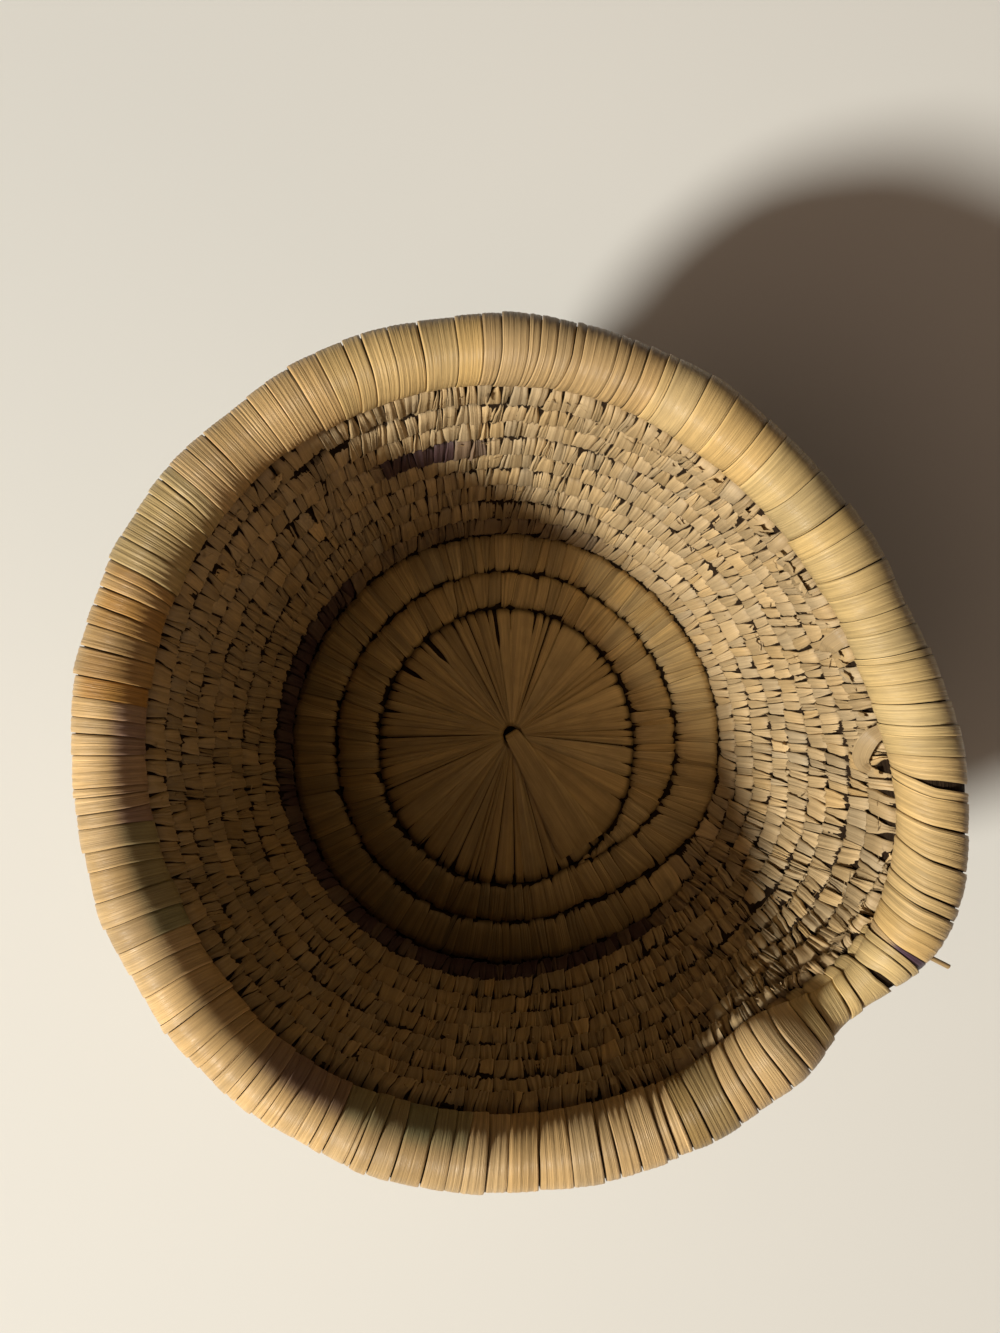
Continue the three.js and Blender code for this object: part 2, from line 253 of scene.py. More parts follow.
def coil_point(turn, around, lift, squareness, shift=0.0):
    """A point on the bundle, moved along the skin: around is 0 at the upper edge and grows outwards."""
    low, high = edges_at(turn)
    half = (high - low) / 2
    thick = HALF_THICKNESS * np.minimum(1, COIL_TIP_SLIMNESS + COIL_TIP_GROWTH * half / ROW_HEIGHT)
    along = (half - BUNDLE_INSET + lift) * squared(np.cos(around), squareness)
    out = (thick - BUNDLE_INSET + lift) * squared(np.sin(around), squareness)
    out = out + COIL_SWAY * waves(turn, SWAY_WAVES)
    point = basket_point((low + high) / 2 + along + shift + row_wander(turn), coil_angle(turn), 0.0, out)
    point[..., 2] = np.maximum(point[..., 2], FLOOR_CLEARANCE)
    return point


def roll_radius(angle):
    """Radius of the rim's roll, which is pinched where the coil ends and is packed a little unevenly."""
    return (RIM_THICKNESS + dents_at(ROLL_DENTS, angle)) / 2 + ROLL_LUMP * waves(angle, LUMP_WAVES)


def roll_rise(angle):
    """Height of the roll's middle over the wall's top edge."""
    past = max(0, RIM_OVERHANG - HALF_THICKNESS * TOP_EDGE_SHARE)
    return np.sqrt(np.maximum(0, (roll_radius(angle) + SEAT_GAP) ** 2 - past**2))


def roll_middle(angle):
    """The middle of the rim's roll at an angle."""
    return basket_point(LAST_TURN_AT, angle, WALL_TOP - LAST_TURN_AT + roll_rise(angle), RIM_OVERHANG)


def beside_roll(angle, out, up):
    """A point outwards and up from the roll's middle."""
    angle, out, up = np.broadcast_arrays(angle, out, up)
    return roll_middle(angle) + np.stack([out * np.cos(angle), out * np.sin(angle), up], axis=-1)


def rosette_point(radius, angle, height):
    """A point of the rosette, whose leaves meet a little off its middle."""
    point = around_axis(radius + out_of_round(radius, angle), angle, HALF_THICKNESS + height)
    nearness = 1 - np.clip(radius / ROSETTE_RADIUS, 0, 1)
    return point + nearness[..., None] * np.array(LEAVES_MEET)


def colour_setting(name, description, default):
    return FloatVectorProperty(
        name=name, description=description, subtype="COLOR", default=default, min=0, max=1
    )


def length_setting(name, description, default, least):
    return FloatProperty(name=name, description=description, unit="LENGTH", default=default, min=least)


def lamp_setting(name, description, default):
    return FloatProperty(name=name, description=description, default=default, min=0)


class BasketLeaf(PropertyGroup):
    """Colours of the dry palm leaf and its dyes."""

    natural: colour_setting("Natural", "Dry leaf of the base", (0.40, 0.285, 0.125))
    stitch: colour_setting("Stitch", "Leaf of the wall", (0.375, 0.272, 0.143))
    pale: colour_setting("Pale", "Sun-bleached leaf", (0.50, 0.365, 0.165))
    gold: colour_setting("Gold", "Golden leaf", (0.495, 0.345, 0.15))
    tan: colour_setting("Tan", "Aged leaf", (0.44, 0.30, 0.14))
    orange: colour_setting("Orange", "Orange-brown dye", (0.33, 0.155, 0.024))
    purple: colour_setting("Purple", "Faded purple dye", (0.27, 0.175, 0.135))
    green: colour_setting("Green", "Faded green dye", (0.27, 0.255, 0.13))
    violet: colour_setting("Violet", "Fresh violet dye", (0.06, 0.03, 0.065))
    ink: colour_setting("Ink", "Dark purple dye of the wall", (0.07, 0.04, 0.04))
    # painted shade: the bundle, the pad and the hoop are coloured near black, so that the gaps that show them
    # read as deep shadow
    grass: colour_setting("Grass", "Bundle inside the coil", (0.024, 0.014, 0.007))
    spread: FloatProperty(
        name="Spread",
        description="How much one strip's lightness differs from the next",
        default=0.07,
        min=0,
        max=0.5,
    )


class BasketSewing(PropertyGroup):
    """Sizes of the strips that sew the coil."""

    wall_width: length_setting("Wall Stitch", "Width of a wall stitch", 4.6 * MM, 2 * MM)
    base_width: length_setting("Base Wrap", "Width of a base wrap", 5.4 * MM, 2 * MM)
    thickness: length_setting("Thickness", "Thickness of a strip", 0.8 * MM, 0.1 * MM)
    frayed: IntProperty(name="Frayed Ends", description="Loose slivers on the wall", default=260, min=1)
    tabs: IntProperty(name="Tabs", description="Short ends that hang out under the rim", default=28, min=1)


class BasketRosette(PropertyGroup):
    """The leaves of the base's rosette."""

    leaves: IntProperty(name="Leaves", description="Number of radial leaves", default=62, min=12, max=90)
    pleat: length_setting("Pleat", "Depth of a leaf's pleats", 0.12 * MM, 0)


class BasketStage(PropertyGroup):
    """The camera, the floor and the lights."""

    focal: FloatProperty(
        name="Focal", description="Focal length for a 36 mm high frame, in mm", default=27.0, min=10
    )
    key_watts: lamp_setting("Key", "Power of the low lamp", 16.4)
    fill_watts: lamp_setting("Fill", "Power of the soft light above", 1.6)
    bounce_watts: lamp_setting("Bounce", "Power of the light from across", 1.25)
    sky: lamp_setting("Sky", "Strength of the even light all round", 0.037)
    floor: colour_setting("Floor", "Colour of the floor", (0.62, 0.625, 0.60))


class LeafStrips:
    """Gathers leaf strips, each a grid of points, into one mesh."""

    def __init__(self):
        self.points = []
        self.faces = []
        self.places = []
        self.cells = []
        self.colours = []
        self.count = 0
        self.strips = 0

    def add(self, points, across, along, colours):
        """Adds strips at once: the arrays' axes are strip, row along it and column across it.

        across and along are the places on the leaf that its fibres follow, in metres.
        """
        shape = points.shape[:3]
        strips, rows, columns = shape
        index = self.count + np.arange(strips * rows * columns).reshape(shape)
        corners = [index[:, :-1, :-1], index[:, 1:, :-1], index[:, 1:, 1:], index[:, :-1, 1:]]
        place = np.stack([np.broadcast_to(across, shape), np.broadcast_to(along, shape)], axis=-1)
        number = self.strips + np.arange(strips)
        cell = np.meshgrid(number, np.linspace(0, 1, rows), np.linspace(0, 1, columns), indexing="ij")
        self.points.append(points.reshape(-1, 3))
        self.faces.append(np.stack(corners, axis=-1).reshape(-1, 4))
        self.places.append(place.reshape(-1, 2) / MM)
        self.cells.append(np.stack(cell, axis=-1).reshape(-1, 3))
        self.colours.append(np.broadcast_to(colours, (*shape, 3)).reshape(-1, 3))
        self.count += index.size
        self.strips += strips
        return self

    def bake_places(self):
        """Places on a square, in which the strips stand side by side, each in its own cell."""
        number, along, across = np.concatenate(self.cells).T
        shelves = max(1, round(math.sqrt(self.strips / STRIP_ASPECT)))
        on_shelf = math.ceil(self.strips / shelves)
        inside = 1 - 2 * CELL_MARGIN
        right = (number % on_shelf + CELL_MARGIN + inside * across) / on_shelf
        up = (number // on_shelf + CELL_MARGIN + inside * along) / shelves
        return np.stack([right, up], axis=-1)

    def mesh(self, name):
        mesh = bpy.data.meshes.new(name)
        faces = np.concatenate(self.faces)
        mesh.from_pydata(np.concatenate(self.points), [], faces)
        mesh.shade_smooth()
        for layer, places in (("strip", np.concatenate(self.places)), (BAKE_MAP, self.bake_places())):
            mesh.uv_layers.new(name=layer).data.foreach_set("uv", places[faces.ravel()].ravel())
        colours = np.concatenate(self.colours)
        attribute = mesh.color_attributes.new("leaf", "FLOAT_COLOR", "POINT")
        attribute.data.foreach_set("color", np.column_stack([colours, np.ones(len(colours))]).ravel())
        mesh.validate()
        return mesh


def add_piece(name, strips, material, replaced=()):
    mesh = strips.mesh(name)
    mesh.materials.append(material)
    piece = bpy.data.objects.new(name, mesh)
    bpy.context.scene.collection.objects.link(piece)
    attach(piece, "root")
    if replaced:
        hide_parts(*replaced)


WARMTH = (0.7, 0.0, -1.6)  # what a warmer leaf gains in red and loses in blue
DARKEST_LEAF = 0.004
LIGHTEST_LEAF = 0.9
# How much strips of one kind differ in lightness, against the usual spread
BASE_SPREAD = 1.1
WALL_SPREAD = 1.35
TAB_SPREAD = 1.4
FRAY_SPREAD = 2
# Metres of leaf that the strips are cut from, so that no two show the same fibres
LEAF_ACROSS = 1
LEAF_ALONG = 5
ROSETTE_LEAF_ALONG = 4


def leaf_colours(rng, count, colour, spread):
    """Each strip's colour: lighter or darker, and warmer or cooler, than the leaf it comes from."""
    value = np.exp(rng.normal(0, spread, (count, 1)))
    warmth = rng.normal(0, spread / 3, (count, 1)) * np.array(WARMTH)
    return np.clip(np.array(colour) * value * (1 + warmth), DARKEST_LEAF, LIGHTEST_LEAF)


def node_tree(material):
    material.use_nodes = True
    material.node_tree.nodes.clear()
    return material.node_tree


def linked(tree, kind, *inputs, **settings):
    """Adds a node, sets its properties and links or sets its first inputs, where given."""
    node = tree.nodes.new(kind)
    for key, value in settings.items():
        setattr(node, key, value)
    for socket, value in zip(node.inputs, inputs, strict=False):
        if isinstance(value, bpy.types.NodeSocket):
            tree.links.new(value, socket)
        else:
            socket.default_value = value
    return node


def streaks(tree, place, across, along, detail):
    """Noise drawn out along the strip: across and along are its grains per millimetre."""
    scaled = linked(tree, "ShaderNodeVectorMath", place, (across, along, 1), operation="MULTIPLY")
    noise = linked(tree, "ShaderNodeTexNoise", scaled.outputs[0], noise_dimensions="2D")
    noise.inputs["Scale"].default_value = 1.0
    noise.inputs["Detail"].default_value = detail
    noise.inputs["Roughness"].default_value = 0.6
    return noise.outputs["Fac"]


def spread_out(tree, value, low, high, to_low, to_high):
    return linked(tree, "ShaderNodeMapRange", value, low, high, to_low, to_high).outputs[0]


def times(tree, a, b):
    return linked(tree, "ShaderNodeMath", a, b, operation="MULTIPLY").outputs[0]


def plus(tree, a, b):
    return linked(tree, "ShaderNodeMath", a, b, operation="ADD").outputs[0]


def leaf_fibre_sockets(sockets):
    sockets.new_socket("Leaf", in_out="INPUT", socket_type="NodeSocketColor")
    for name in ("Fibre", "Vein", "Stain", "Rough"):
        sockets.new_socket(name, in_out="INPUT", socket_type="NodeSocketFloat")
    sockets.new_socket("Color", in_out="OUTPUT", socket_type="NodeSocketColor")
    for name in ("Roughness", "Height"):
        sockets.new_socket(name, in_out="OUTPUT", socket_type="NodeSocketFloat")


def leaf_fibre_group():
    """Fibres, veins and stains of a dry leaf, along the strip's own length."""
    group = bpy.data.node_groups.get("leaf_fibre")
    if group:
        return group
    group = bpy.data.node_groups.new("leaf_fibre", "ShaderNodeTree")
    leaf_fibre_sockets(group.interface)
    enter = group.nodes.new("NodeGroupInput").outputs
    leave = group.nodes.new("NodeGroupOutput").inputs
    place = linked(group, "ShaderNodeUVMap", uv_map="strip").outputs[0]
    fibre = streaks(group, place, across=3.2, along=0.045, detail=3.0)
    vein = streaks(group, place, across=1.1, along=0.012, detail=2.0)
    stain = streaks(group, place, across=0.16, along=0.05, detail=4.0)
    light = 1.0
    for strength, swing in (
        ("Fibre", spread_out(group, fibre, 0.3, 0.7, -1, 1)),
        ("Vein", spread_out(group, vein, 0.35, 0.65, -1, 1)),
        ("Stain", spread_out(group, stain, 0.3, 0.6, -1, 0.4)),
    ):
        light = times(group, light, plus(group, 1.0, times(group, swing, enter[strength])))
    shade = linked(group, "ShaderNodeVectorMath", enter["Leaf"], operation="SCALE")
    group.links.new(light, shade.inputs["Scale"])
    rough = plus(group, enter["Rough"], spread_out(group, fibre, 0.3, 0.7, 0.10, -0.08))
    group.links.new(shade.outputs[0], leave["Color"])
    group.links.new(rough, leave["Roughness"])
    group.links.new(plus(group, fibre, times(group, vein, 1.4)), leave["Height"])
    return group


def leaf_material(name, relief, gloss, rough, fibre, vein, stain):
    """Dry palm leaf, with its colour from the strips and its fibres along them."""
    material = bpy.data.materials.new(name)
    tree = node_tree(material)
    leaf = linked(tree, "ShaderNodeAttribute", attribute_name="leaf").outputs["Color"]
    fibres = linked(tree, "ShaderNodeGroup", node_tree=leaf_fibre_group())
    tree.links.new(leaf, fibres.inputs["Leaf"])
    for socket, value in (("Rough", rough), ("Fibre", fibre), ("Vein", vein), ("Stain", stain)):
        fibres.inputs[socket].default_value = value
    bump = linked(tree, "ShaderNodeBump")
    bump.inputs["Strength"].default_value = 1.0
    bump.inputs["Distance"].default_value = relief
    tree.links.new(fibres.outputs["Height"], bump.inputs["Height"])
    surface = linked(tree, "ShaderNodeBsdfPrincipled")
    surface.inputs["Specular IOR Level"].default_value = gloss
    tree.links.new(fibres.outputs["Color"], surface.inputs["Base Color"])
    tree.links.new(fibres.outputs["Roughness"], surface.inputs["Roughness"])
    tree.links.new(bump.outputs["Normal"], surface.inputs["Normal"])
    linked(tree, "ShaderNodeOutputMaterial", surface.outputs[0])
    return material


def grass_material(name):
    return leaf_material(name, relief=0.6 * MM, gloss=0.1, rough=0.8, fibre=0.4, vein=0.12, stain=0.15)


def stitch_material():
    return leaf_material(
        "wall_stitch", relief=0.15 * MM, gloss=0.25, rough=0.55, fibre=0.08, vein=0.08, stain=0.14
    )


def base_wrap_material():
    return leaf_material(
        "base_wrap", relief=0.25 * MM, gloss=0.35, rough=0.5, fibre=0.12, vein=0.14, stain=0.25
    )


def rosette_material():
    return leaf_material(
        "rosette_blade", relief=0.14 * MM, gloss=0.35, rough=0.5, fibre=0.06, vein=0.09, stain=0.16
    )


def rim_material():
    return leaf_material(
        "rim_leaf", relief=0.2 * MM, gloss=0.22, rough=0.38, fibre=0.10, vein=0.12, stain=0.12
    )


def tube_rows(count):
    """Evenly spread angles round a strip's loop, from the lower edge of its turn back to it."""
    return np.linspace(math.pi, 3 * math.pi, count)[None, :, None]


EDGE = 0.97  # where a strip's edge lies, as a share of half its width


def strip_columns(count):
    """Places across a strip from -1 to 1: even columns, and at each edge a skirt that turns down."""
    return np.concatenate([[-1], np.linspace(-EDGE, EDGE, count), [1]])[None, None, :]


def skirt_of(across):
    return np.abs(across) > (1 + EDGE) / 2


def painted_highlight_edge(across):
    """1 at the edge that lies on top of the next strip, where a highlight is painted, and 0 elsewhere."""
    return 1.0 * (across > 0.9)


def between(left, right, across):
    return left + (right - left) * (across + 1) / 2


def uneven(rng, start, end, count, unevenness):
    """Seams of strips of uneven width that fill a stretch, with both ends."""
    width = np.exp(rng.normal(0, unevenness, count))
    return start + (end - start) * np.concatenate([[0], np.cumsum(width)]) / width.sum()


def draw_each(rng, count, low, high):
    """One random value for each of some strips."""
    return rng.uniform(low, high, (count, 1, 1))


def closed(values):
    """Gives the last seam of a ring the values of the first, which is the same seam."""
    values[-1] = values[0]
    return values


class Sewing(NamedTuple):
    """How the strips of one kind of coil lie: lengths in metres."""

    width: float
    unevenness: float
    rows: int
    columns: int
    squareness: float  # of the bundle's section: 2 is an oval, more is squarer
    slit: float  # usual width of the gap between two strips, where it is widest
    slit_from: float  # share of the way to the strip's end at which the gap starts
    lean: float  # sideways run of a strip over its height
    seam: float  # depth of the seam between strips that touch
    crown: float
    crease: float
    shingle: float  # rise of one edge over the other
    scallop: float  # how far a strip's corners draw in at its two ends
    stagger: float  # how far a strip lies above or below the next
    ruffle: float  # how far a strip stands off or sinks in
    both_ends: bool  # gaps open at the lower ends and less at the upper ones, or else at the upper ones alone
    unruliness: float  # how much worse all this is where the coil steps out
    # painted shade darkens a strip from this share of the way to its ends
    tucked_from: float  # share of the way to its ends at which a strip darkens


def base_sewing(width):
    return Sewing(
        width=width,
        unevenness=0.45,
        rows=33,
        columns=9,
        squareness=3.0,
        slit=0.35 * MM,
        slit_from=0.55,
        lean=1.8 * MM,
        seam=0.08 * MM,
        crown=0.14 * MM,
        crease=0.08 * MM,
        shingle=0.14 * MM,
        scallop=0.4 * MM,
        stagger=0.65 * MM,
        ruffle=0.15 * MM,
        both_ends=True,
        unruliness=0.5,
        tucked_from=0.76,
    )


def wall_sewing(width):
    return Sewing(
        width=width,
        unevenness=0.32,
        rows=23,
        columns=9,
        squareness=3.4,
        slit=0.42 * MM,
        slit_from=0.42,
        lean=1.9 * MM,
        seam=0.45 * MM,
        crown=0.12 * MM,
        crease=0.26 * MM,
        shingle=0.28 * MM,
        scallop=0.5 * MM,
        stagger=1.0 * MM,
        ruffle=0.4 * MM,
        both_ends=False,
        unruliness=0.55,
        tucked_from=0.9,
    )


# Stitches that stand apart: turn of the wall, angle in degrees and width of the gap in mm
WALL_GAPS = [
    (8, 86.4, 2.0),
    (8, 354.5, 1.6),
    (9, 6, 1.4),
    (9, 13, 2.2),
    (9, 331, 2.0),
    (9, 346, 2.4),
    (9, 354.1, 1.8),
    (9, 357.7, 3.6),
]
# Where the coil steps out the strips lie worst: middle and half span in degrees, and strength
UNRULY_STRETCH = (324, 24, 1.0)
# Dyed stretches of the wall's turns: turn of the wall, first and last angle, fade at both ends, and strength
DYED_STITCHES = [(1, 120, 322, 22, 1.2), (1, 60, 130, 10, 0.4), (6, 93, 103, 3, 0.8), (6, 100, 117, 2, 1.8)]
# Painted shade on the base's stretch by the shaded wall, and painted light on its stretch by the lit wall:
# middle and half span in degrees, and how much darker it is
BASE_PAINTED_SHADE_AND_LIGHT = [(245, 75, 0.42), (42, 58, -0.16)]
SLIT_UNEVENNESS = 0.9
WIDEST_SLIT = 3.4  # against the usual one
UPPER_SLIT = 0.75  # against the lower one, where both ends open
LEANS = (-0.8, 2.2)  # least and most, against the usual lean
ENDS_FROM = 0.8  # share of the way to the turn's edge at which a strip's ends start
END_RISE = 0.4 * MM  # a strip bulges at its two ends, where it turns under
# Painted shade in the seams and where the strips' ends tuck in, and a painted highlight along the edge that
# lies on top
SEAM_SHADE = 0.55
TUCKED_SHADE = 0.45
EDGE_GLEAM = 0.16
LOOP_LENGTH = 0.42 * ROW_HEIGHT  # of a strip, for each radian round the bundle
SHINGLES = (0.5, 1.5)  # least and most, against the usual shingle
SCALLOP_POWER = 2.5  # how sharply a strip's corners draw in
SKEW = 0.7  # how far a strip's two edges are staggered against each other
OPEN_FROM = 0.02  # a gap that is open by this share shows the bundle
DYE_STRENGTHS = (0.6, 1.2)  # least and most, from stitch to stitch
BUNDLE_STEPS = 64  # along each turn
BUNDLE_CORNERS = 17  # round its outline
BUNDLE_SQUARENESS = 3.0
PRESSED_POWER = 8  # the more, the narrower the stretch on which the bundle's turns press on each other
BUNDLE_GIRTH = 10 * MM  # of its outline, for each radian
BUNDLE_LENGTH = 0.7  # metres in a turn, as its fibres are drawn


class SewnTurn:
    """The strips over one turn of the coil: each runs round it, and gaps open towards their ends."""

    def __init__(self, number, sewing, thickness, seed):
        self.last = number == TURNS - 1
        self.sewing = sewing
        self.thickness = thickness
        self.rng = np.random.default_rng(seed)
        start, end = turn_span(number)
        self.length = TURN * coil_radius(number)
        count = round((end - start) * self.length / sewing.width)
        self.seams = uneven(self.rng, start, end, count, sewing.unevenness)[:, None, None]
        self.each = partial(draw_each, self.rng, count)
        self.around = tube_rows(sewing.rows)
        self.across = strip_columns(sewing.columns)
        self.unruly = 1 + sewing.unruliness * dents_at([UNRULY_STRETCH], coil_angle(self.seams))
        self.gaps = [gap[1:] for gap in WALL_GAPS if gap[0] == number - BASE_TURNS + 1]

    def opening(self):
        """How far the gaps are open along the strips' loop, from 0 to 1."""
        upwards = np.cos(self.around)
        if self.sewing.both_ends:
            nearness = np.maximum(-upwards, UPPER_SLIT * upwards)
        else:
            nearness = (1 + upwards) / 2
        return smooth((nearness - self.sewing.slit_from) / (1 - self.sewing.slit_from))

    def slits(self, opening):
        """Width of the gap at each seam, a few of them as wide as the photograph shows."""
        uneven_slits = np.exp(self.rng.normal(0, SLIT_UNEVENNESS, self.seams.shape)).clip(0, WIDEST_SLIT)
        slits = self.sewing.slit * self.unruly * uneven_slits * opening
        for degrees, width in self.gaps:
            away = degrees_off(np.degrees(coil_angle(self.seams)), degrees)
            slits[np.argmin(np.abs(away))] += width * MM * opening[0]
        return slits

    def turns(self, slits):
        """Where each place of the strips lies along the coil."""
        leans = draw_each(self.rng, len(self.seams), *LEANS)
        lean = self.sewing.lean * self.unruly * leans * -np.cos(self.around) / 2
        left = self.seams[:-1] + (lean[:-1] + slits[:-1] / 2) / self.length
        right = self.seams[1:] + (lean[1:] - slits[1:] / 2) / self.length
        return np.clip(between(left, right, self.across), COIL_START, COIL_END)

    def lift(self, opening):
        """How far each place of the strips stands over the bundle."""
        sewing, across = self.sewing, self.across
        ends = smooth((np.abs(np.cos(self.around)) - ENDS_FROM) / (1 - ENDS_FROM))
        lift = self.thickness + sewing.ruffle * self.each(-1, 1) + sewing.crown * (1 - across**2)
        lift = lift + END_RISE * ends + sewing.shingle * across * self.each(*SHINGLES)
        lift = lift - sewing.scallop * ends * np.abs(across) ** SCALLOP_POWER
        creases = self.rng.normal(0, sewing.crease, (len(self.seams) - 1, 1, across.size))
        lift = lift + self.unruly[1:] * creases
        depth = np.where(opening > OPEN_FROM, self.thickness + END_RISE, sewing.seam)
        return np.where(skirt_of(across), lift - depth, lift)

    def shift(self):
        """How far each strip lies above its row; the last turn is pressed up against the roll."""
        tilt = self.each(-1, 1) + SKEW * self.across * self.each(-1, 1)
        shift = self.sewing.stagger * self.unruly[1:] * tilt
        return shift + self.sewing.stagger if self.last else shift

    def shade(self):
        """Painted shade in the seams and where the strips' ends tuck in, and a painted highlight along one
        edge.
        """
        tucked = -np.cos(self.around) if self.last else np.abs(np.cos(self.around))
        under = smooth((tucked - self.sewing.tucked_from) / (1 - self.sewing.tucked_from))
        pale = 1 + EDGE_GLEAM * painted_highlight_edge(self.across)
        return np.where(skirt_of(self.across), SEAM_SHADE, pale) * (1 - (1 - TUCKED_SHADE) * under)

    def strips(self, colours_of):
        opening = self.opening()
        turns = self.turns(self.slits(opening))
        lift = self.lift(opening)
        points = coil_point(turns, self.around, lift, self.sewing.squareness, self.shift())
        across = self.across * self.sewing.width / 2 + self.each(0, LEAF_ACROSS)
        along = self.around * LOOP_LENGTH + self.each(0, LEAF_ALONG)
        middles = (self.seams[1:, 0, 0] + self.seams[:-1, 0, 0]) / 2
        colours = colours_of(self.rng, middles)[:, None, None, :] * self.shade()[..., None]
        return LeafStrips().add(points, across, along, colours)


def base_colours(leaf, rng, middles):
    """Colours for the wraps of the base, with painted shade on one stretch and painted light on another."""
    # painted shade where this value is above 0, painted light where it is below 0
    stain = dents_at(BASE_PAINTED_SHADE_AND_LIGHT, coil_angle(middles))[:, None]
    return leaf_colours(rng, len(middles), leaf.natural, leaf.spread * BASE_SPREAD) * (1 - stain)


def wall_colours(leaf, turn_of_wall, rng, middles):
    """Colours for the stitches of one turn of the wall, with its dyed stretches."""
    colours = leaf_colours(rng, len(middles), leaf.stitch, leaf.spread * WALL_SPREAD)
    degrees = np.degrees(coil_angle(middles)) % 360
    for turn, first, last, fade, strength in DYED_STITCHES:
        if turn == turn_of_wall:
            inside = smooth((degrees - first) / fade) * smooth((last - degrees) / fade)
            dyed = (inside * strength * rng.uniform(*DYE_STRENGTHS, len(middles))).clip(0, 1)[:, None]
            colours = colours * (1 - dyed) + np.array(leaf.ink) * dyed
    return colours


class BASKET_OT_bundle(Operator):
    """Makes the bare grass bundle that shows between the stitches"""

    bl_idname = "basket.bundle"
    bl_label = "Grass Bundle"

    def execute(self, context):
        turn = np.linspace(COIL_START, COIL_END, BUNDLE_STEPS * TURNS)[None, :, None]
        around = np.linspace(TURN, 0, BUNDLE_CORNERS)[None, None, :]
        swell = BUNDLE_SWELL * np.cos(around) ** PRESSED_POWER
        points = coil_point(turn, around, swell, BUNDLE_SQUARENESS)
        grass = np.array(context.scene.basket_leaf.grass)
        strips = LeafStrips().add(points, around * BUNDLE_GIRTH, turn * BUNDLE_LENGTH, grass)
        add_piece("grass_bundle", strips, grass_material("grass_bundle"))
        return {"FINISHED"}


class BASKET_OT_sewing(Operator):
    """Sews the wall and wraps the base, turn by turn"""

    bl_idname = "basket.sewing"
    bl_label = "Sewing"

    def execute(self, context):
        leaf, sizes = context.scene.basket_leaf, context.scene.basket_sewing
        wall_stitch = stitch_material()
        base_wrap = base_wrap_material()
        base = base_sewing(sizes.base_width)
        for number in range(BASE_TURNS):
            sewn = SewnTurn(number, base, sizes.thickness, BASE_SEED + number)
            strips = sewn.strips(partial(base_colours, leaf))
            add_piece(f"base_wraps_{number + 1}", strips, base_wrap, [f"base_coil_{number + 1}"])
        wall = wall_sewing(sizes.wall_width)
        for number in range(WALL_TURNS):
            sewn = SewnTurn(BASE_TURNS + number, wall, sizes.thickness, WALL_SEED + number)
            row = number + 1
            strips = sewn.strips(partial(wall_colours, leaf, row))
            add_piece(f"wall_stitches_{row}", strips, wall_stitch, [f"wall_coil_{row}"])
        return {"FINISHED"}


# Where the rosette's leaves stand apart at their outer ends: angle in degrees, width in mm, and share of the
# radius at which the slit starts
ROSETTE_SLITS = [(81, 0.8, 0.80), (94, 1.6, 0.66), (124, 2.4, 0.72), (141, 2.2, 0.78), (163, 0.9, 0.82)]
ROSETTE_SLIT = 0.3 * MM  # usual width of the slits at the leaves' outer ends
OPENED_FROM = 0.1 * MM  # a wider slit shows the pad
SLITS_FROM = 0.86  # share of the radius at which the usual slits start
SLIT_WIDENS = 0.12  # share of the radius over which the wide ones open
SLIT_NEAREST = 10 * MM  # nearer to the middle, a slit narrows with its leaf
SLIT_DEPTH = 0.9 * MM
LEAF_SEAM = 0.04 * MM  # depth of a seam that is shut
SEAM_BEND = 0.8 * DEGREE
ROSETTE_ROWS = 110
ROSETTE_COLUMNS = 11
LEAF_UNEVENNESS = 0.5
LEAF_THICKNESS = 0.45 * MM
FLAT_RADIUS = 22 * MM  # nearer to the middle, the leaves lie flatter
FIBRES_SPREAD_FROM = 18 * MM  # from the middle
LEAF_CROWNS = (0.05 * MM, 0.3 * MM)  # least and most
LEAF_HEIGHTS = (-0.15 * MM, 0.3 * MM)
LEAF_SHINGLE = 0.12 * MM  # rise of one edge over the other
CORNER_DROP = 0.8 * MM  # of the corners of a leaf's outer end
CORNERS_FROM = 0.92  # share of the radius at which they start
CORNERS_SPAN = 0.06
FOLD_DEPTH = 0.7 * MM
FOLD_FROM = 0.55  # share of the way to a leaf's edge at which its fold starts
FOLD_RARITY = 4  # the more, the fewer leaves are folded
# Painted shade in the folds, slits and outer ends of the leaves, and painted light on one side of each leaf
FOLD_SHADE = 0.6
SLIT_SHADE = 0.6
LEAF_LIGHTNESS = 1.06
FACET_SHADE = 0.13  # how much one side of a leaf may be lighter
OUTER_SHADE = 0.5
OUTER_DARK_FROM = 0.95  # share of the radius
OUTER_DARK_SPAN = 0.04
PAD_ROWS = 40
PAD_CORNERS = 97
PAD_REACH = 40 * MM  # of its fibres, for each radian


def rosette_profile(rows):
    """Radius and height along a leaf: up out of the hole, over the pad, round its edge and under."""
    top = START_DISC_THICKNESS / 2 + 0.3 * MM
    hole = START_HOLE_RADIUS + 0.2 * MM
    edge = ROSETTE_RADIUS - 0.4 * MM
    corners = [(hole, -top), (hole, top * 0.5), (hole + 1.2 * MM, top * 0.95), (hole + 4 * MM, top)]
    for radius in np.linspace(14 * MM, edge - 6 * MM, 6):
        corners.append((radius, top + 0.6 * MM * math.sin(math.pi * radius / edge)))
    corners += [(edge - 2.5 * MM, top * 0.85), (edge, top * 0.45)]
    corners += [(edge, -top * 0.45), (edge - 2.5 * MM, -top * 0.85)]
    corners += [(radius, -top) for radius in np.linspace(edge - 6 * MM, hole, 5)]
    radius, height = np.array(corners).T
    length = np.concatenate([[0], np.cumsum(np.hypot(np.diff(radius), np.diff(height)))])
    at = np.linspace(0, length[-1], rows)
    return np.interp(at, length, radius), np.interp(at, length, height), at


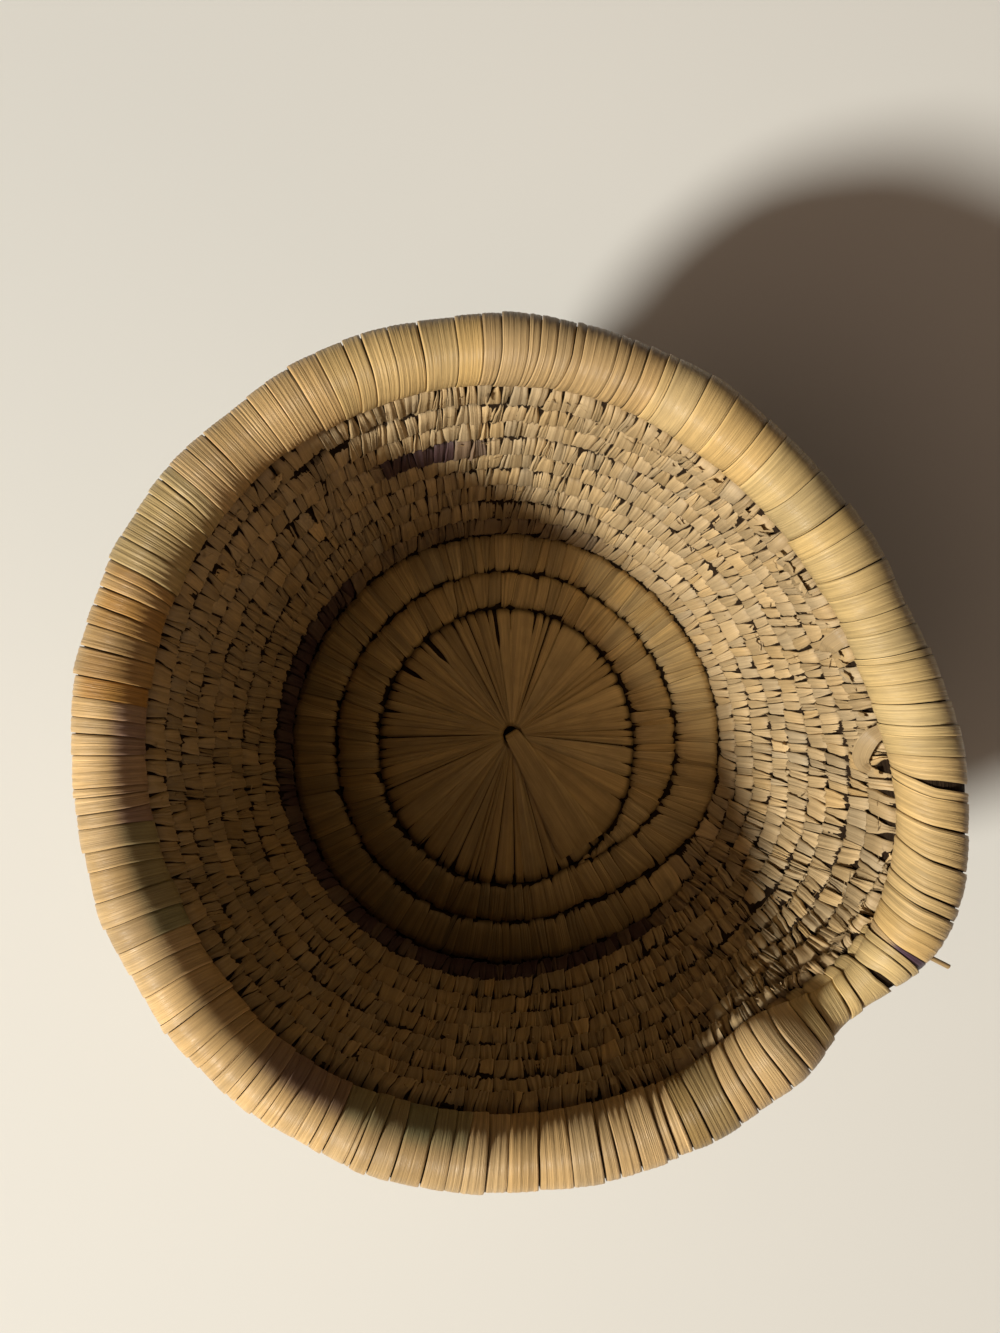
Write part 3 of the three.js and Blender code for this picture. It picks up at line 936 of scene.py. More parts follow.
class RosetteLeaves:
    """The radial leaves, which lie flat in the middle and stand apart at their outer ends."""

    def __init__(self, count):
        self.count = count
        self.rng = np.random.default_rng(ROSETTE_SEED)
        self.each = partial(draw_each, self.rng, count)
        self.seams = uneven(self.rng, 0, TURN, count, LEAF_UNEVENNESS)[:, None, None]
        self.across = strip_columns(ROSETTE_COLUMNS)
        self.skirt = skirt_of(self.across)
        profile = rosette_profile(ROSETTE_ROWS)
        self.radius, self.height, self.along = (value[None, :, None] for value in profile)
        self.share = self.radius / ROSETTE_RADIUS
        self.near = smooth(self.radius / FLAT_RADIUS)

    def slits(self):
        """Width of the gap at each seam, a few of them as wide as the photograph shows."""
        slits = ROSETTE_SLIT * np.exp(self.rng.normal(0, SLIT_UNEVENNESS, self.seams.shape))
        slits = slits * smooth((self.share - SLITS_FROM) / (1 - SLITS_FROM))
        for degrees, width, start in ROSETTE_SLITS:
            nearest = np.argmin(np.abs(self.seams - degrees * DEGREE))
            slits[nearest] += width * MM * smooth((self.share[0] - start) / SLIT_WIDENS)
        return closed(slits)

    def angles(self, slits):
        """Angle of each place of the leaves, whose seams lie a little off the straight."""
        bend = closed(self.rng.normal(0, SEAM_BEND, self.seams.shape) * self.share)
        half_gap = slits / 2 / np.maximum(self.radius, SLIT_NEAREST)
        left = self.seams[:-1] + bend[:-1] + half_gap[:-1]
        right = self.seams[1:] + bend[1:] - half_gap[1:]
        return between(left, right, self.across)

    def body(self, pleat):
        """Height of the leaves over the pad, with their pleats and the corners of their outer ends."""
        across = self.across
        pleats = self.rng.normal(0, pleat, (self.count, 1, across.size))
        crown = self.each(*LEAF_CROWNS) * (1 - across**2)
        body = LEAF_THICKNESS + (crown + pleats + self.each(*LEAF_HEIGHTS)) * self.near
        corners = CORNER_DROP * smooth((self.share - CORNERS_FROM) / CORNERS_SPAN) * across**4
        return body + LEAF_SHINGLE * across * self.near - corners

    def turned(self):
        """How far each side of a leaf is folded down at its seam: most of them hardly are."""
        fold = closed(draw_each(self.rng, self.count + 1, 0, 1) ** FOLD_RARITY * self.near)
        folded = smooth((np.abs(self.across) - FOLD_FROM) / (1 - FOLD_FROM))
        return np.where(self.across < 0, fold[:-1], fold[1:]) * folded

    def points(self, angle, lift):
        """The leaves' points, lifted square to their profile."""
        along_radius = np.gradient(self.radius[0, :, 0])
        along_height = np.gradient(self.height[0, :, 0])
        lift = lift / np.hypot(along_radius, along_height)[None, :, None]
        radius = self.radius - lift * along_height[None, :, None]
        return rosette_point(radius, angle, self.height + lift * along_radius[None, :, None])

    def shade(self, opened, turned):
        """Painted shade in the seams and at the outer ends, and painted light on one side of each leaf."""
        facet = LEAF_LIGHTNESS + FACET_SHADE * self.across * self.each(-1, 1)
        ends = 1 - OUTER_SHADE * smooth((self.share - OUTER_DARK_FROM) / OUTER_DARK_SPAN)
        return facet * np.where(self.skirt & opened, SLIT_SHADE, 1 - FOLD_SHADE * turned) * ends

    def strips(self, pleat, leaf):
        slits = self.slits()
        opened = np.maximum(slits[:-1], slits[1:]) > OPENED_FROM
        angle = self.angles(slits)
        body = self.body(pleat)
        turned = self.turned()
        seam = np.where(opened, SLIT_DEPTH, LEAF_SEAM)
        points = self.points(angle, body - FOLD_DEPTH * turned - np.where(self.skirt, seam, 0))
        spread = leaf.spread * BASE_SPREAD
        colours = leaf_colours(self.rng, self.count, leaf.natural, spread)[:, None, None, :]
        colours = colours * self.shade(opened, turned)[..., None]
        half_width = np.maximum(self.radius, FIBRES_SPREAD_FROM) * math.pi / self.count
        place = self.across * half_width + self.each(0, LEAF_ACROSS)
        along = self.along + self.each(0, ROSETTE_LEAF_ALONG)
        return LeafStrips().add(points, place, along, colours)


class BASKET_OT_rosette(Operator):
    """Lays the radial leaves of the base over their pad"""

    bl_idname = "basket.rosette"
    bl_label = "Rosette"

    def execute(self, context):
        leaf, rosette = context.scene.basket_leaf, context.scene.basket_rosette
        strips = RosetteLeaves(rosette.leaves).strips(rosette.pleat, leaf)
        nodes = [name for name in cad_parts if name.startswith("rosette_leaf")]
        add_piece("rosette_leaves", strips, rosette_material(), nodes)
        add_piece("start_pad", self.pad(leaf), grass_material("grass_pad"), ["start_disc"])
        return {"FINISHED"}

    def pad(self, leaf):
        """The grass pad under the leaves, whose near-black colour shows as a line of painted shade between
        them.
        """
        radius, height, along = (np.insert(value, 0, value[0]) for value in rosette_profile(PAD_ROWS))
        radius[0] = 0
        angle = np.linspace(0, TURN, PAD_CORNERS)[None, None, :]
        points = rosette_point(radius[None, :, None], angle, height[None, :, None])
        return LeafStrips().add(points, angle * PAD_REACH, along[None, :, None], np.array(leaf.grass))


class RimStrip(NamedTuple):
    """One leaf strip of the rim, with the angles in degrees at which its wraps start on the outer side."""

    dye: str
    rib: float  # from one rib of the leaf to the next in mm, or 0 for a smooth leaf
    slant: float  # how many degrees further round a seam lies on the inner side
    seams: tuple
    inside_only: bool = False  # dyed on the inner half of the roll alone
    tone: float = 1.0  # lightness against the leaf's usual one
    hook: float = 0.65  # share of the slant that lies on the inner side


# Counter-clockwise from the right of the photograph
RIM_STRIPS = [
    RimStrip(
        "pale",
        0,
        0.9,
        (359.2, 1.9, 3.4, 6.7, 9.9, 13.1, 14.2, 17.9, 20.7, 24.6, 27.9, 33.3, 37.0, 42.9),
        tone=0.95,
    ),
    RimStrip("gold", 0, 1.0, (49.7, 53.0, 58.5, 63.0, 67.8), tone=1.06),
    RimStrip("tan", 2.5, 2.0, (69.3, 72.0, 74.4, 76.2, 81.0, 82.3, 84.7, 87.0, 88.7, 92.4), tone=0.85),
    RimStrip("gold", 1.8, 1.5, (95.1, 98.7, 103.7, 107.6, 111.2, 113.7), tone=0.94),
    RimStrip("tan", 1.5, 0.1, (117.5, 121.5, 125.0, 128.0, 130.8, 135.2, 138.0)),
    RimStrip("pale", 1.9, 0.5, (141.0, 143.0, 145.3, 148.2, 151.7), tone=0.76),
    RimStrip("orange", 2.2, 0.7, (154.9, 156.6, 158.6, 161.0, 163.5, 166.5, 170.2)),
    RimStrip("purple", 2.6, 0.3, (172.9, 175.5, 177.6, 180.5, 184.8, 186.0, 188.2), True, 1.13),
    RimStrip("green", 0, 0.8, (190.0, 193.0, 195.6, 199.6, 203.0), True, 1.05),
    RimStrip("tan", 0, 1.2, (206.5, 209.6, 213.0, 217.0, 218.3, 222.3, 224.2, 226.6), tone=1.25),
    RimStrip("purple", 0, -0.2, (229.0, 230.5, 233.0, 234.5, 236.4, 239.3, 241.4), True, 1.4),
    RimStrip("green", 0, 0.3, (243.3, 246.4, 247.2, 249.5, 252.7, 256.6, 259.8), True),
    RimStrip(
        "tan",
        2.4,
        0.4,
        (261.8, 265.0, 267.9, 272.2, 276.8, 281.0, 283.2, 286.1, 289.6, 291.2),
        tone=1.1,
    ),
    RimStrip("gold", 1.5, -0.1, (293.4, 296.3), tone=0.56),
    RimStrip("tan", 0, 1.2, (300.5, 303.4, 305.7, 308.9, 312.1), tone=1.19),
    RimStrip("pale", 0, 2.4, (315.0, 317.0, 320.3, 322.1, 327.4, 329.6, 330.4), hook=0.0),
    RimStrip("gold", 3.0, 2.6, (332.2, 335.6, 338.3, 340.0, 344.5, 349.3, 353.1, 355.0)),
]
# Seams that stand open, and how far in mm
OPEN_SEAMS = {
    **dict.fromkeys((6.7, 27.9, 37.0, 82.3, 103.7, 111.2, 113.7, 135.2, 143.0), 0.3),
    **dict.fromkeys((158.6, 161.0, 166.5, 170.2, 177.6, 218.3, 230.5, 241.4, 243.3), 0.28),
    **dict.fromkeys((247.2, 249.5, 252.7, 256.6, 272.2, 281.0, 283.2, 286.1), 0.35),
    **dict.fromkeys((291.2, 293.4, 296.3, 300.5, 303.4, 305.7, 308.9, 312.1, 315.0), 0.35),
    **dict.fromkeys((317.0, 320.3, 322.1, 338.3, 340.0, 344.5, 349.3), 0.45),
    327.4: 2.0,
    329.6: 0.35,
    355.0: 2.6,
}
CLOSED_SEAM = 0.12  # mm
DARK_GAP = 0.2 * MM  # a wider gap shows the hoop
INNER_GAP = 0.12  # share of a gap that is open all along the wrap
OUTER_GAP = 0.9  # and share that opens towards the outer side
# Seams that slant by more or less than their strip's others, in degrees
ODD_SLANTS = {317.0: 3.4, 320.3: 4.4, 322.1: 4.8, 327.4: 1.2, 329.6: 2.6, 330.4: 3.4}
VIOLET_WRAP = 330.4  # the one wrap that is dyed dark and lies in a fold
# Dyes that lie on a part of a wrap: from and to which side, -1 at the outer horizon and 1 at the inner one,
# and the least strength
PATCHY_DYES = {"orange": (-0.9, 1.5, 0.15), "violet": (-2.0, 0.75, 0.9)}
WRAP_START = 196 * DEGREE  # a strip starts where the roll sits on the wall
WRAP_END = -150 * DEGREE  # and comes back to it under the inner side
WRAP_ROWS = 56
LAP_ROWS = 8  # of these, where the roll is pinched and a wrap's end lies on the wall's top
LAPS_FROM = 0.08  # pinch of the roll, as a share of its thickness, from which wraps do so
LAP_SHORTENS = 2.6  # radians by which a wrap ends earlier, for each whole pinch
LAP_NARROWS = 0.35
WRAP_CROWN = 0.1 * MM
WRAP_UNEVENNESS = 0.2 * MM  # how far one wrap stands over the next
WRAP_SHINGLE = 0.14 * MM  # rise of one edge over the other
WRAP_CREASE = 0.03 * MM
WRAP_RIDGE = 0.13 * MM
WRAP_SEAM = 0.18 * MM
WRAP_SINKS = 0.2 * MM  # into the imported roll's surface
VIOLET_SINKS = 0.5 * MM  # further, in its fold
HOOP_INSET = 1.3 * MM  # the hoop lies this far inside the roll
HOOP_SEAT = 2.6 * MM  # and is pressed out by this much where it sits on the wall
HOOP_SEAT_HALF = 40 * DEGREE  # half the span of that seat, round the roll
HOOP_STEPS = 241
HOOP_CORNERS = 25
HOOP_GIRTH = 12 * MM  # of its outline, for each radian
HOOP_REACH = 130 * MM  # of its fibres, for each radian of the mouth
WRAP_COLUMNS = 9  # at least
RIB_COLUMNS = 4
RIDGE_POWER = 3  # the more, the narrower a rib's pale ridge
SLANT_UNEVENNESS = 0.3  # degrees
# painted shade at the tip of a wrap's end, where it laps onto the wall's top
TIP_FROM = 0.6  # share of a lap at which its tip starts
TIP_SHADE = 0.45
LAP_REACH = 0.6 * HALF_THICKNESS  # how far in from the wall's middle a lap ends
LAP_HEIGHT = 1.0 * MM  # over the wall's top
# A wrap's way is about 0 at the outer horizon and 1 where it ends inside
WAY_ON_TOP = 0.4
WAY_SPAN = 260 * DEGREE
HOOK_FROM = 0.45  # of the way
HOOK_SPAN = 0.4
PARTS_FROM = -0.85  # where a gap starts to open: -1 is the inner horizon and 1 the outer one
PARTS_SPAN = 0.7
# Painted highlights on the ribs' ridges and the top edge, and painted shade in the seams, in the gaps and
# under the outer side
WRAP_LIGHTNESS = 0.94
RIDGE_GLEAM = 0.24
WRAP_EDGE_GLEAM = 0.24
GAP_SHADE = 0.2
WRAP_SEAM_SHADE = 0.65
UNDER_FROM = 75 * DEGREE  # from the roll's top, where the outer side darkens
UNDER_SPAN = 50 * DEGREE
UNDER_SHADE = 0.35
INSIDE_FROM = 0.2  # side at which a dye that lies inside alone starts, as for the patchy dyes
INSIDE_FADE = 0.5
INSIDE_STRENGTHS = (0.5, 1.0)  # least and most, from wrap to wrap
PATCH_FADES = (0.7, 0.4)  # of a patchy dye, at its outer and its inner end


class Wrap(NamedTuple):
    """One wrap of the rim, with a value for each of its two seams: angles in radians, gaps in metres."""

    strip: RimStrip
    dye: str
    seams: np.ndarray
    slants: np.ndarray
    hooks: np.ndarray
    gaps: np.ndarray


def rim_wraps(rng):
    """All wraps of the rim in order, each from its own seam to the next."""
    owners = [(strip, seam) for strip in RIM_STRIPS for seam in strip.seams]
    slants = np.array([ODD_SLANTS.get(seam, strip.slant) for strip, seam in owners])
    slants = slants + rng.normal(0, SLANT_UNEVENNESS, len(owners))
    hooks = np.array([strip.hook for strip, _ in owners])
    gaps = np.array([OPEN_SEAMS.get(seam, CLOSED_SEAM) for _, seam in owners])
    seams = np.array([seam for _, seam in owners])
    rows = [np.append(row, row[0]) for row in (seams * DEGREE, slants * DEGREE, hooks, gaps * MM)]
    rows[0] = np.unwrap(rows[0])
    wraps = []
    for k, (strip, seam) in enumerate(owners):
        dye = "violet" if seam == VIOLET_WRAP else strip.dye
        wraps.append(Wrap(strip, dye, *(row[k : k + 2] for row in rows)))
    return wraps


def wrap_rows(angle):
    """Angles round the roll along a wrap, and how far each row has left the roll for the wall's top."""
    pinch = -float(dents_at(ROLL_DENTS, angle)) / RIM_THICKNESS
    lap = LAP_ROWS if pinch > LAPS_FROM else 0
    end = WRAP_END + LAP_SHORTENS * pinch
    around = np.concatenate([np.linspace(WRAP_START, end, WRAP_ROWS - lap), np.full(lap, end)])
    laid = np.concatenate([np.zeros(WRAP_ROWS - lap), np.linspace(0.1, 1, lap)])
    return around[None, :, None], laid[None, :, None]


class BASKET_OT_rim(Operator):
    """Winds the leaf strips round the rim's hoop"""

    bl_idname = "basket.rim"
    bl_label = "Rim"

    def execute(self, context):
        leaf = context.scene.basket_leaf
        add_piece("grass_hoop", self.hoop(leaf), grass_material("grass_hoop"), ["rim_hoop"])
        rng = np.random.default_rng(RIM_SEED)
        material = rim_material()
        wraps = iter(rim_wraps(rng))
        for number, strip in enumerate(RIM_STRIPS, 1):
            strips = LeafStrips()
            for wrap in islice(wraps, len(strip.seams)):
                self.wind(strips, wrap, leaf, rng)
            nodes = [f"rim_strip_{number:02d}"]
            add_piece(f"rim_wraps_{number:02d}", strips, material, nodes)
        return {"FINISHED"}

    def hoop(self, leaf):
        """The grass hoop under the strips."""
        angle = np.linspace(0, TURN, HOOP_STEPS)[None, :, None]
        around = np.linspace(TURN, 0, HOOP_CORNERS)[None, None, :]
        seat = smooth(1 - np.abs(around - WRAP_START) / HOOP_SEAT_HALF)
        reach = roll_radius(angle) - HOOP_INSET + HOOP_SEAT * seat
        points = beside_roll(angle, reach * np.sin(around), reach * np.cos(around))
        return LeafStrips().add(points, around * HOOP_GIRTH, angle * HOOP_REACH, np.array(leaf.grass))

    def wind(self, strips, wrap, leaf, rng):
        """Adds one wrap: from under the outer side, over the top and down to the wall inside."""
        middle = wrap.seams.mean()
        mouth = np.hypot(*(roll_middle(middle) - np.array(AXIS))[:2])
        width = (wrap.seams[1] - wrap.seams[0]) * mouth
        ribs = round(width / (wrap.strip.rib * MM)) if wrap.strip.rib else 0
        across = strip_columns(max(WRAP_COLUMNS, RIB_COLUMNS * ribs + 1))
        ridge = ((1 - np.cos(math.pi * ribs * (across + 1))) / 2) ** RIDGE_POWER
        around, laid = wrap_rows(middle)
        tip = smooth((laid - TIP_FROM) / (1 - TIP_FROM))
        open_edge = np.where(across < 0, *wrap.gaps) > DARK_GAP
        angle = self.angles(wrap, across, around, tip, mouth)
        lift = self.lift(rng, wrap.dye, across, ridge, open_edge)
        points = self.points(angle, around, laid, lift)
        shade = self.shade(across, around, ridge, open_edge) * (1 - TIP_SHADE * tip)
        colours = self.dyed(wrap, around, leaf, rng) * shade[..., None]
        place = across * width / 2 + rng.uniform(0, LEAF_ACROSS)
        along = around * -RIM_THICKNESS / 2 + rng.uniform(0, LEAF_ALONG)
        strips.add(points, place, along, colours)

    def angles(self, wrap, across, around, tip, mouth):
        """Angle of each place of a wrap: its seams slant, and its gaps open towards the outer side."""
        way = WAY_ON_TOP - around / WAY_SPAN
        hooked = smooth((way - HOOK_FROM) / HOOK_SPAN)
        parted = smooth((np.sin(around) - PARTS_FROM) / PARTS_SPAN)
        parting = (INNER_GAP + OUTER_GAP * parted) / 2
        edges = []
        gaps = wrap.gaps / mouth * (1, -1)
        for seam, slant, hook, gap in zip(wrap.seams, wrap.slants, wrap.hooks, gaps, strict=True):
            edges.append(seam + slant * ((1 - hook) * way + hook * hooked) + gap * parting)
        left, right = edges
        return (left + right) / 2 + (right - left) / 2 * across * (1 - LAP_NARROWS * tip)

    def lift(self, rng, dye, across, ridge, open_edge):
        """How far each place of a wrap stands over the roll's surface."""
        lift = WRAP_CROWN * (1 - np.abs(across) ** 3) + rng.normal(0, WRAP_UNEVENNESS) + WRAP_SHINGLE * across
        lift = lift + rng.normal(0, WRAP_CREASE, (1, 1, across.size)) + WRAP_RIDGE * ridge
        seam = np.where(open_edge, HOOP_INSET, WRAP_SEAM)
        sunk = WRAP_SINKS + VIOLET_SINKS if dye == "violet" else WRAP_SINKS
        return np.where(skirt_of(across), lift - seam, lift) - sunk

    def points(self, angle, around, laid, lift):
        """Places on the roll, or where they have left it on the top edge of the wall."""
        reach = roll_radius(angle) + lift
        out = reach * np.sin(around)
        up = reach * np.cos(around)
        out = out + (-RIM_OVERHANG - LAP_REACH - out) * laid
        up = up + (LAP_HEIGHT - roll_rise(angle) - up) * laid
        return beside_roll(angle, out, up)

    def shade(self, across, around, ridge, open_edge):
        """Painted highlights on the leaf's ridges and top edge, and painted shade in the seams and under the
        outer side.
        """
        pale = WRAP_LIGHTNESS + RIDGE_GLEAM * ridge + WRAP_EDGE_GLEAM * painted_highlight_edge(across)
        seam = np.where(open_edge, GAP_SHADE, WRAP_SEAM_SHADE)
        under = smooth((around - UNDER_FROM) / UNDER_SPAN)
        return np.where(skirt_of(across), seam, pale) * (1 - UNDER_SHADE * under)

    def dyed(self, wrap, around, leaf, rng):
        """Colour along a wrap, whose dye may lie on a part of it alone."""
        strip = wrap.strip
        dye = getattr(leaf, wrap.dye)
        base = leaf.tan if strip.inside_only or wrap.dye in PATCHY_DYES else dye
        colour = strip.tone * leaf_colours(rng, 1, base, leaf.spread)[:, None, None, :]
        side = -np.sin(around)[..., None]  # 1 at the inner horizon
        mask = 0
        if strip.inside_only:
            mask = smooth((side - INSIDE_FROM) / INSIDE_FADE) * rng.uniform(*INSIDE_STRENGTHS)
        elif wrap.dye in PATCHY_DYES:
            low, high, weakest = PATCHY_DYES[wrap.dye]
            outer, inner = PATCH_FADES
            mask = smooth((side - low) / outer) * smooth((high - side) / inner) * rng.uniform(weakest, 1.0)
        return colour * (1 - mask) + np.array(dye) * mask


def along_stations(stations, rows):
    """Even steps along a list of stations, and each kind of value drawn straight from one to the next."""
    columns = np.array(stations).T
    numbers = range(columns.shape[1])
    at = np.linspace(0, numbers[-1], rows)
    return at, [np.interp(at, numbers, column) for column in columns]


# The loose end of the first leaf: reach from the middle, height over the pad and half width, all in mm
FIRST_LEAF_END = [
    (-1.2, -4.0, 3.0),
    (-0.8, 0.4, 3.4),
    (1.0, 2.0, 3.9),
    (5.0, 2.3, 4.5),
    (14.0, 2.2, 5.7),
    (30.0, 2.4, 7.8),
    (50.0, 2.4, 10.6),
    (60.0, 2.0, 12.0),
    (65.5, 0.6, 12.4),
]
FIRST_LEAF_WAY = 301.7 * DEGREE
TAIL_ROWS = 60
TAIL_COLUMNS = 13
TAIL_PLEAT = 0.1 * MM
TAIL_PLEATS = 9  # radians of pleats from its middle to its edge
TAIL_CROWN = 0.3 * MM
TAIL_EDGE = 0.9 * MM  # how far its edge turns down
TAIL_GROWS = 10 * MM  # reach over which all this grows
TAIL_EDGE_SHADE = 0.6


class BASKET_OT_tail(Operator):
    """Lays the loose end of the first leaf over the rosette"""

    bl_idname = "basket.tail"
    bl_label = "Start Tail"

    def execute(self, context):
        values = along_stations(FIRST_LEAF_END, TAIL_ROWS)[1]
        reach, height, half = (value[:, None] * MM for value in values)
        across = strip_columns(TAIL_COLUMNS)[0]
        skirt = skirt_of(across)
        wave = TAIL_PLEAT * np.cos(across * TAIL_PLEATS) + TAIL_CROWN * (1 - across**2)
        lift = np.where(skirt, -TAIL_EDGE, wave) * smooth(reach / TAIL_GROWS)
        top = HALF_THICKNESS + START_DISC_THICKNESS / 2
        ahead = math.cos(FIRST_LEAF_WAY), math.sin(FIRST_LEAF_WAY)
        right = AXIS.x + LEAVES_MEET[0] + reach * ahead[0] - half * across * ahead[1]
        away = AXIS.y + LEAVES_MEET[1] + reach * ahead[1] + half * across * ahead[0]
        points = np.stack([right, away, top + height + lift], axis=-1)
        steps = np.hypot(np.diff(reach[:, 0]), np.diff(height[:, 0]))
        length = np.concatenate([[0], np.cumsum(steps)])[:, None]
        # painted shade on its turned-down edge
        shade = np.where(skirt, TAIL_EDGE_SHADE, 1)[..., None]
        colours = shade * np.array(context.scene.basket_leaf.natural)
        strips = LeafStrips().add(points[None], (half * across)[None], length[None], colours[None])
        material = bpy.data.materials["rosette_blade"]
        add_piece("start_leaf_end", strips, material, ["start_tail"])
        return {"FINISHED"}


# Loose strips by the rim: angle in degrees, how far out and up from the roll's middle, and half width, in mm
HANGING_STRIP = [
    (19.6, -8.0, -4.0, 3.2),
    (19.3, -12.0, -6.5, 3.4),
    (18.6, -15.0, -11.0, 3.4),
    (17.9, -14.5, -16.0, 3.0),
    (17.4, -13.0, -19.5, 2.2),
]
CURLED_STRIP = [
    (3.2, -10.0, -6.0, 2.4),
    (2.2, -14.0, -7.5, 3.0),
    (0.6, -16.5, -10.5, 3.4),
    (-1.2, -17.0, -15.0, 3.0),
    (-2.6, -15.5, -18.5, 2.4),
    (-3.4, -12.5, -20.0, 1.6),
]
TWIG_ANGLE = 333.3 * DEGREE
TWIG_ENDS = (1 * MM, 20 * MM)  # out from the roll's middle
TWIG_DROP = 3 * MM  # below the roll's middle
TWIG_HALF = 0.8 * MM
TWIG_ROWS = 6
TWIG_CORNERS = 9
TWIG_SHADE = 0.7
RIBBON_ROWS = 24
RIBBON_COLUMNS = 7
RIBBON_FACES_IN = 0.5
RIBBON_FACES_UP = 0.85
RIBBON_CURL = 0.2 * MM
RIBBON_CURLS = 4  # radians of its waves from its middle to its edge
RIBBON_SHADE = 0.85
RIM_REACH = 150 * MM  # radii by which short lengths round the basket become angles
TAB_REACH = 135 * MM
FRAY_REACH = 120 * MM
CURL_POWER = 1.5  # how a loose end curls off the wall, along its way
# Least and most of each kind
TAB_LENGTHS = (2.5 * MM, 6.5 * MM)
TAB_HALVES = (0.7 * MM, 2.0 * MM)
TAB_TAPERS = (0.1, 0.7)
TAB_STRETCH = (-5 * DEGREE, 68 * DEGREE)
TAB_LEANS = (-0.7, 0.7)
TAB_CURLS = (0, 0.9 * MM)
FRAY_DROPS = (1 * MM, 5 * MM)  # below a turn's upper edge
FRAY_LEANS = (-1.3, 1.3)
FRAY_LENGTHS = (3 * MM, 7 * MM)
FRAY_HALVES = (0.25 * MM, 0.55 * MM)
FRAY_PLACES = (-0.6, 0.6)  # on the unruly stretch, against half its span
FRAY_CURLS = (0.6 * MM, 2.2 * MM)
TABS_ON_STRETCH = 0.7  # share of the tabs
TAB_ROOT = 0.5 * MM  # over the wall's top
TAB_LIFT = 0.5 * MM
TAB_CUP = 0.2 * MM
FRAYED_ROWS = 6  # of the wall, from its top
FRAYED_ON_STRETCH = 0.3  # share of the frayed ends
FRAY_TAPER = 0.7
FRAY_SINKS = 0.3 * MM  # at its root


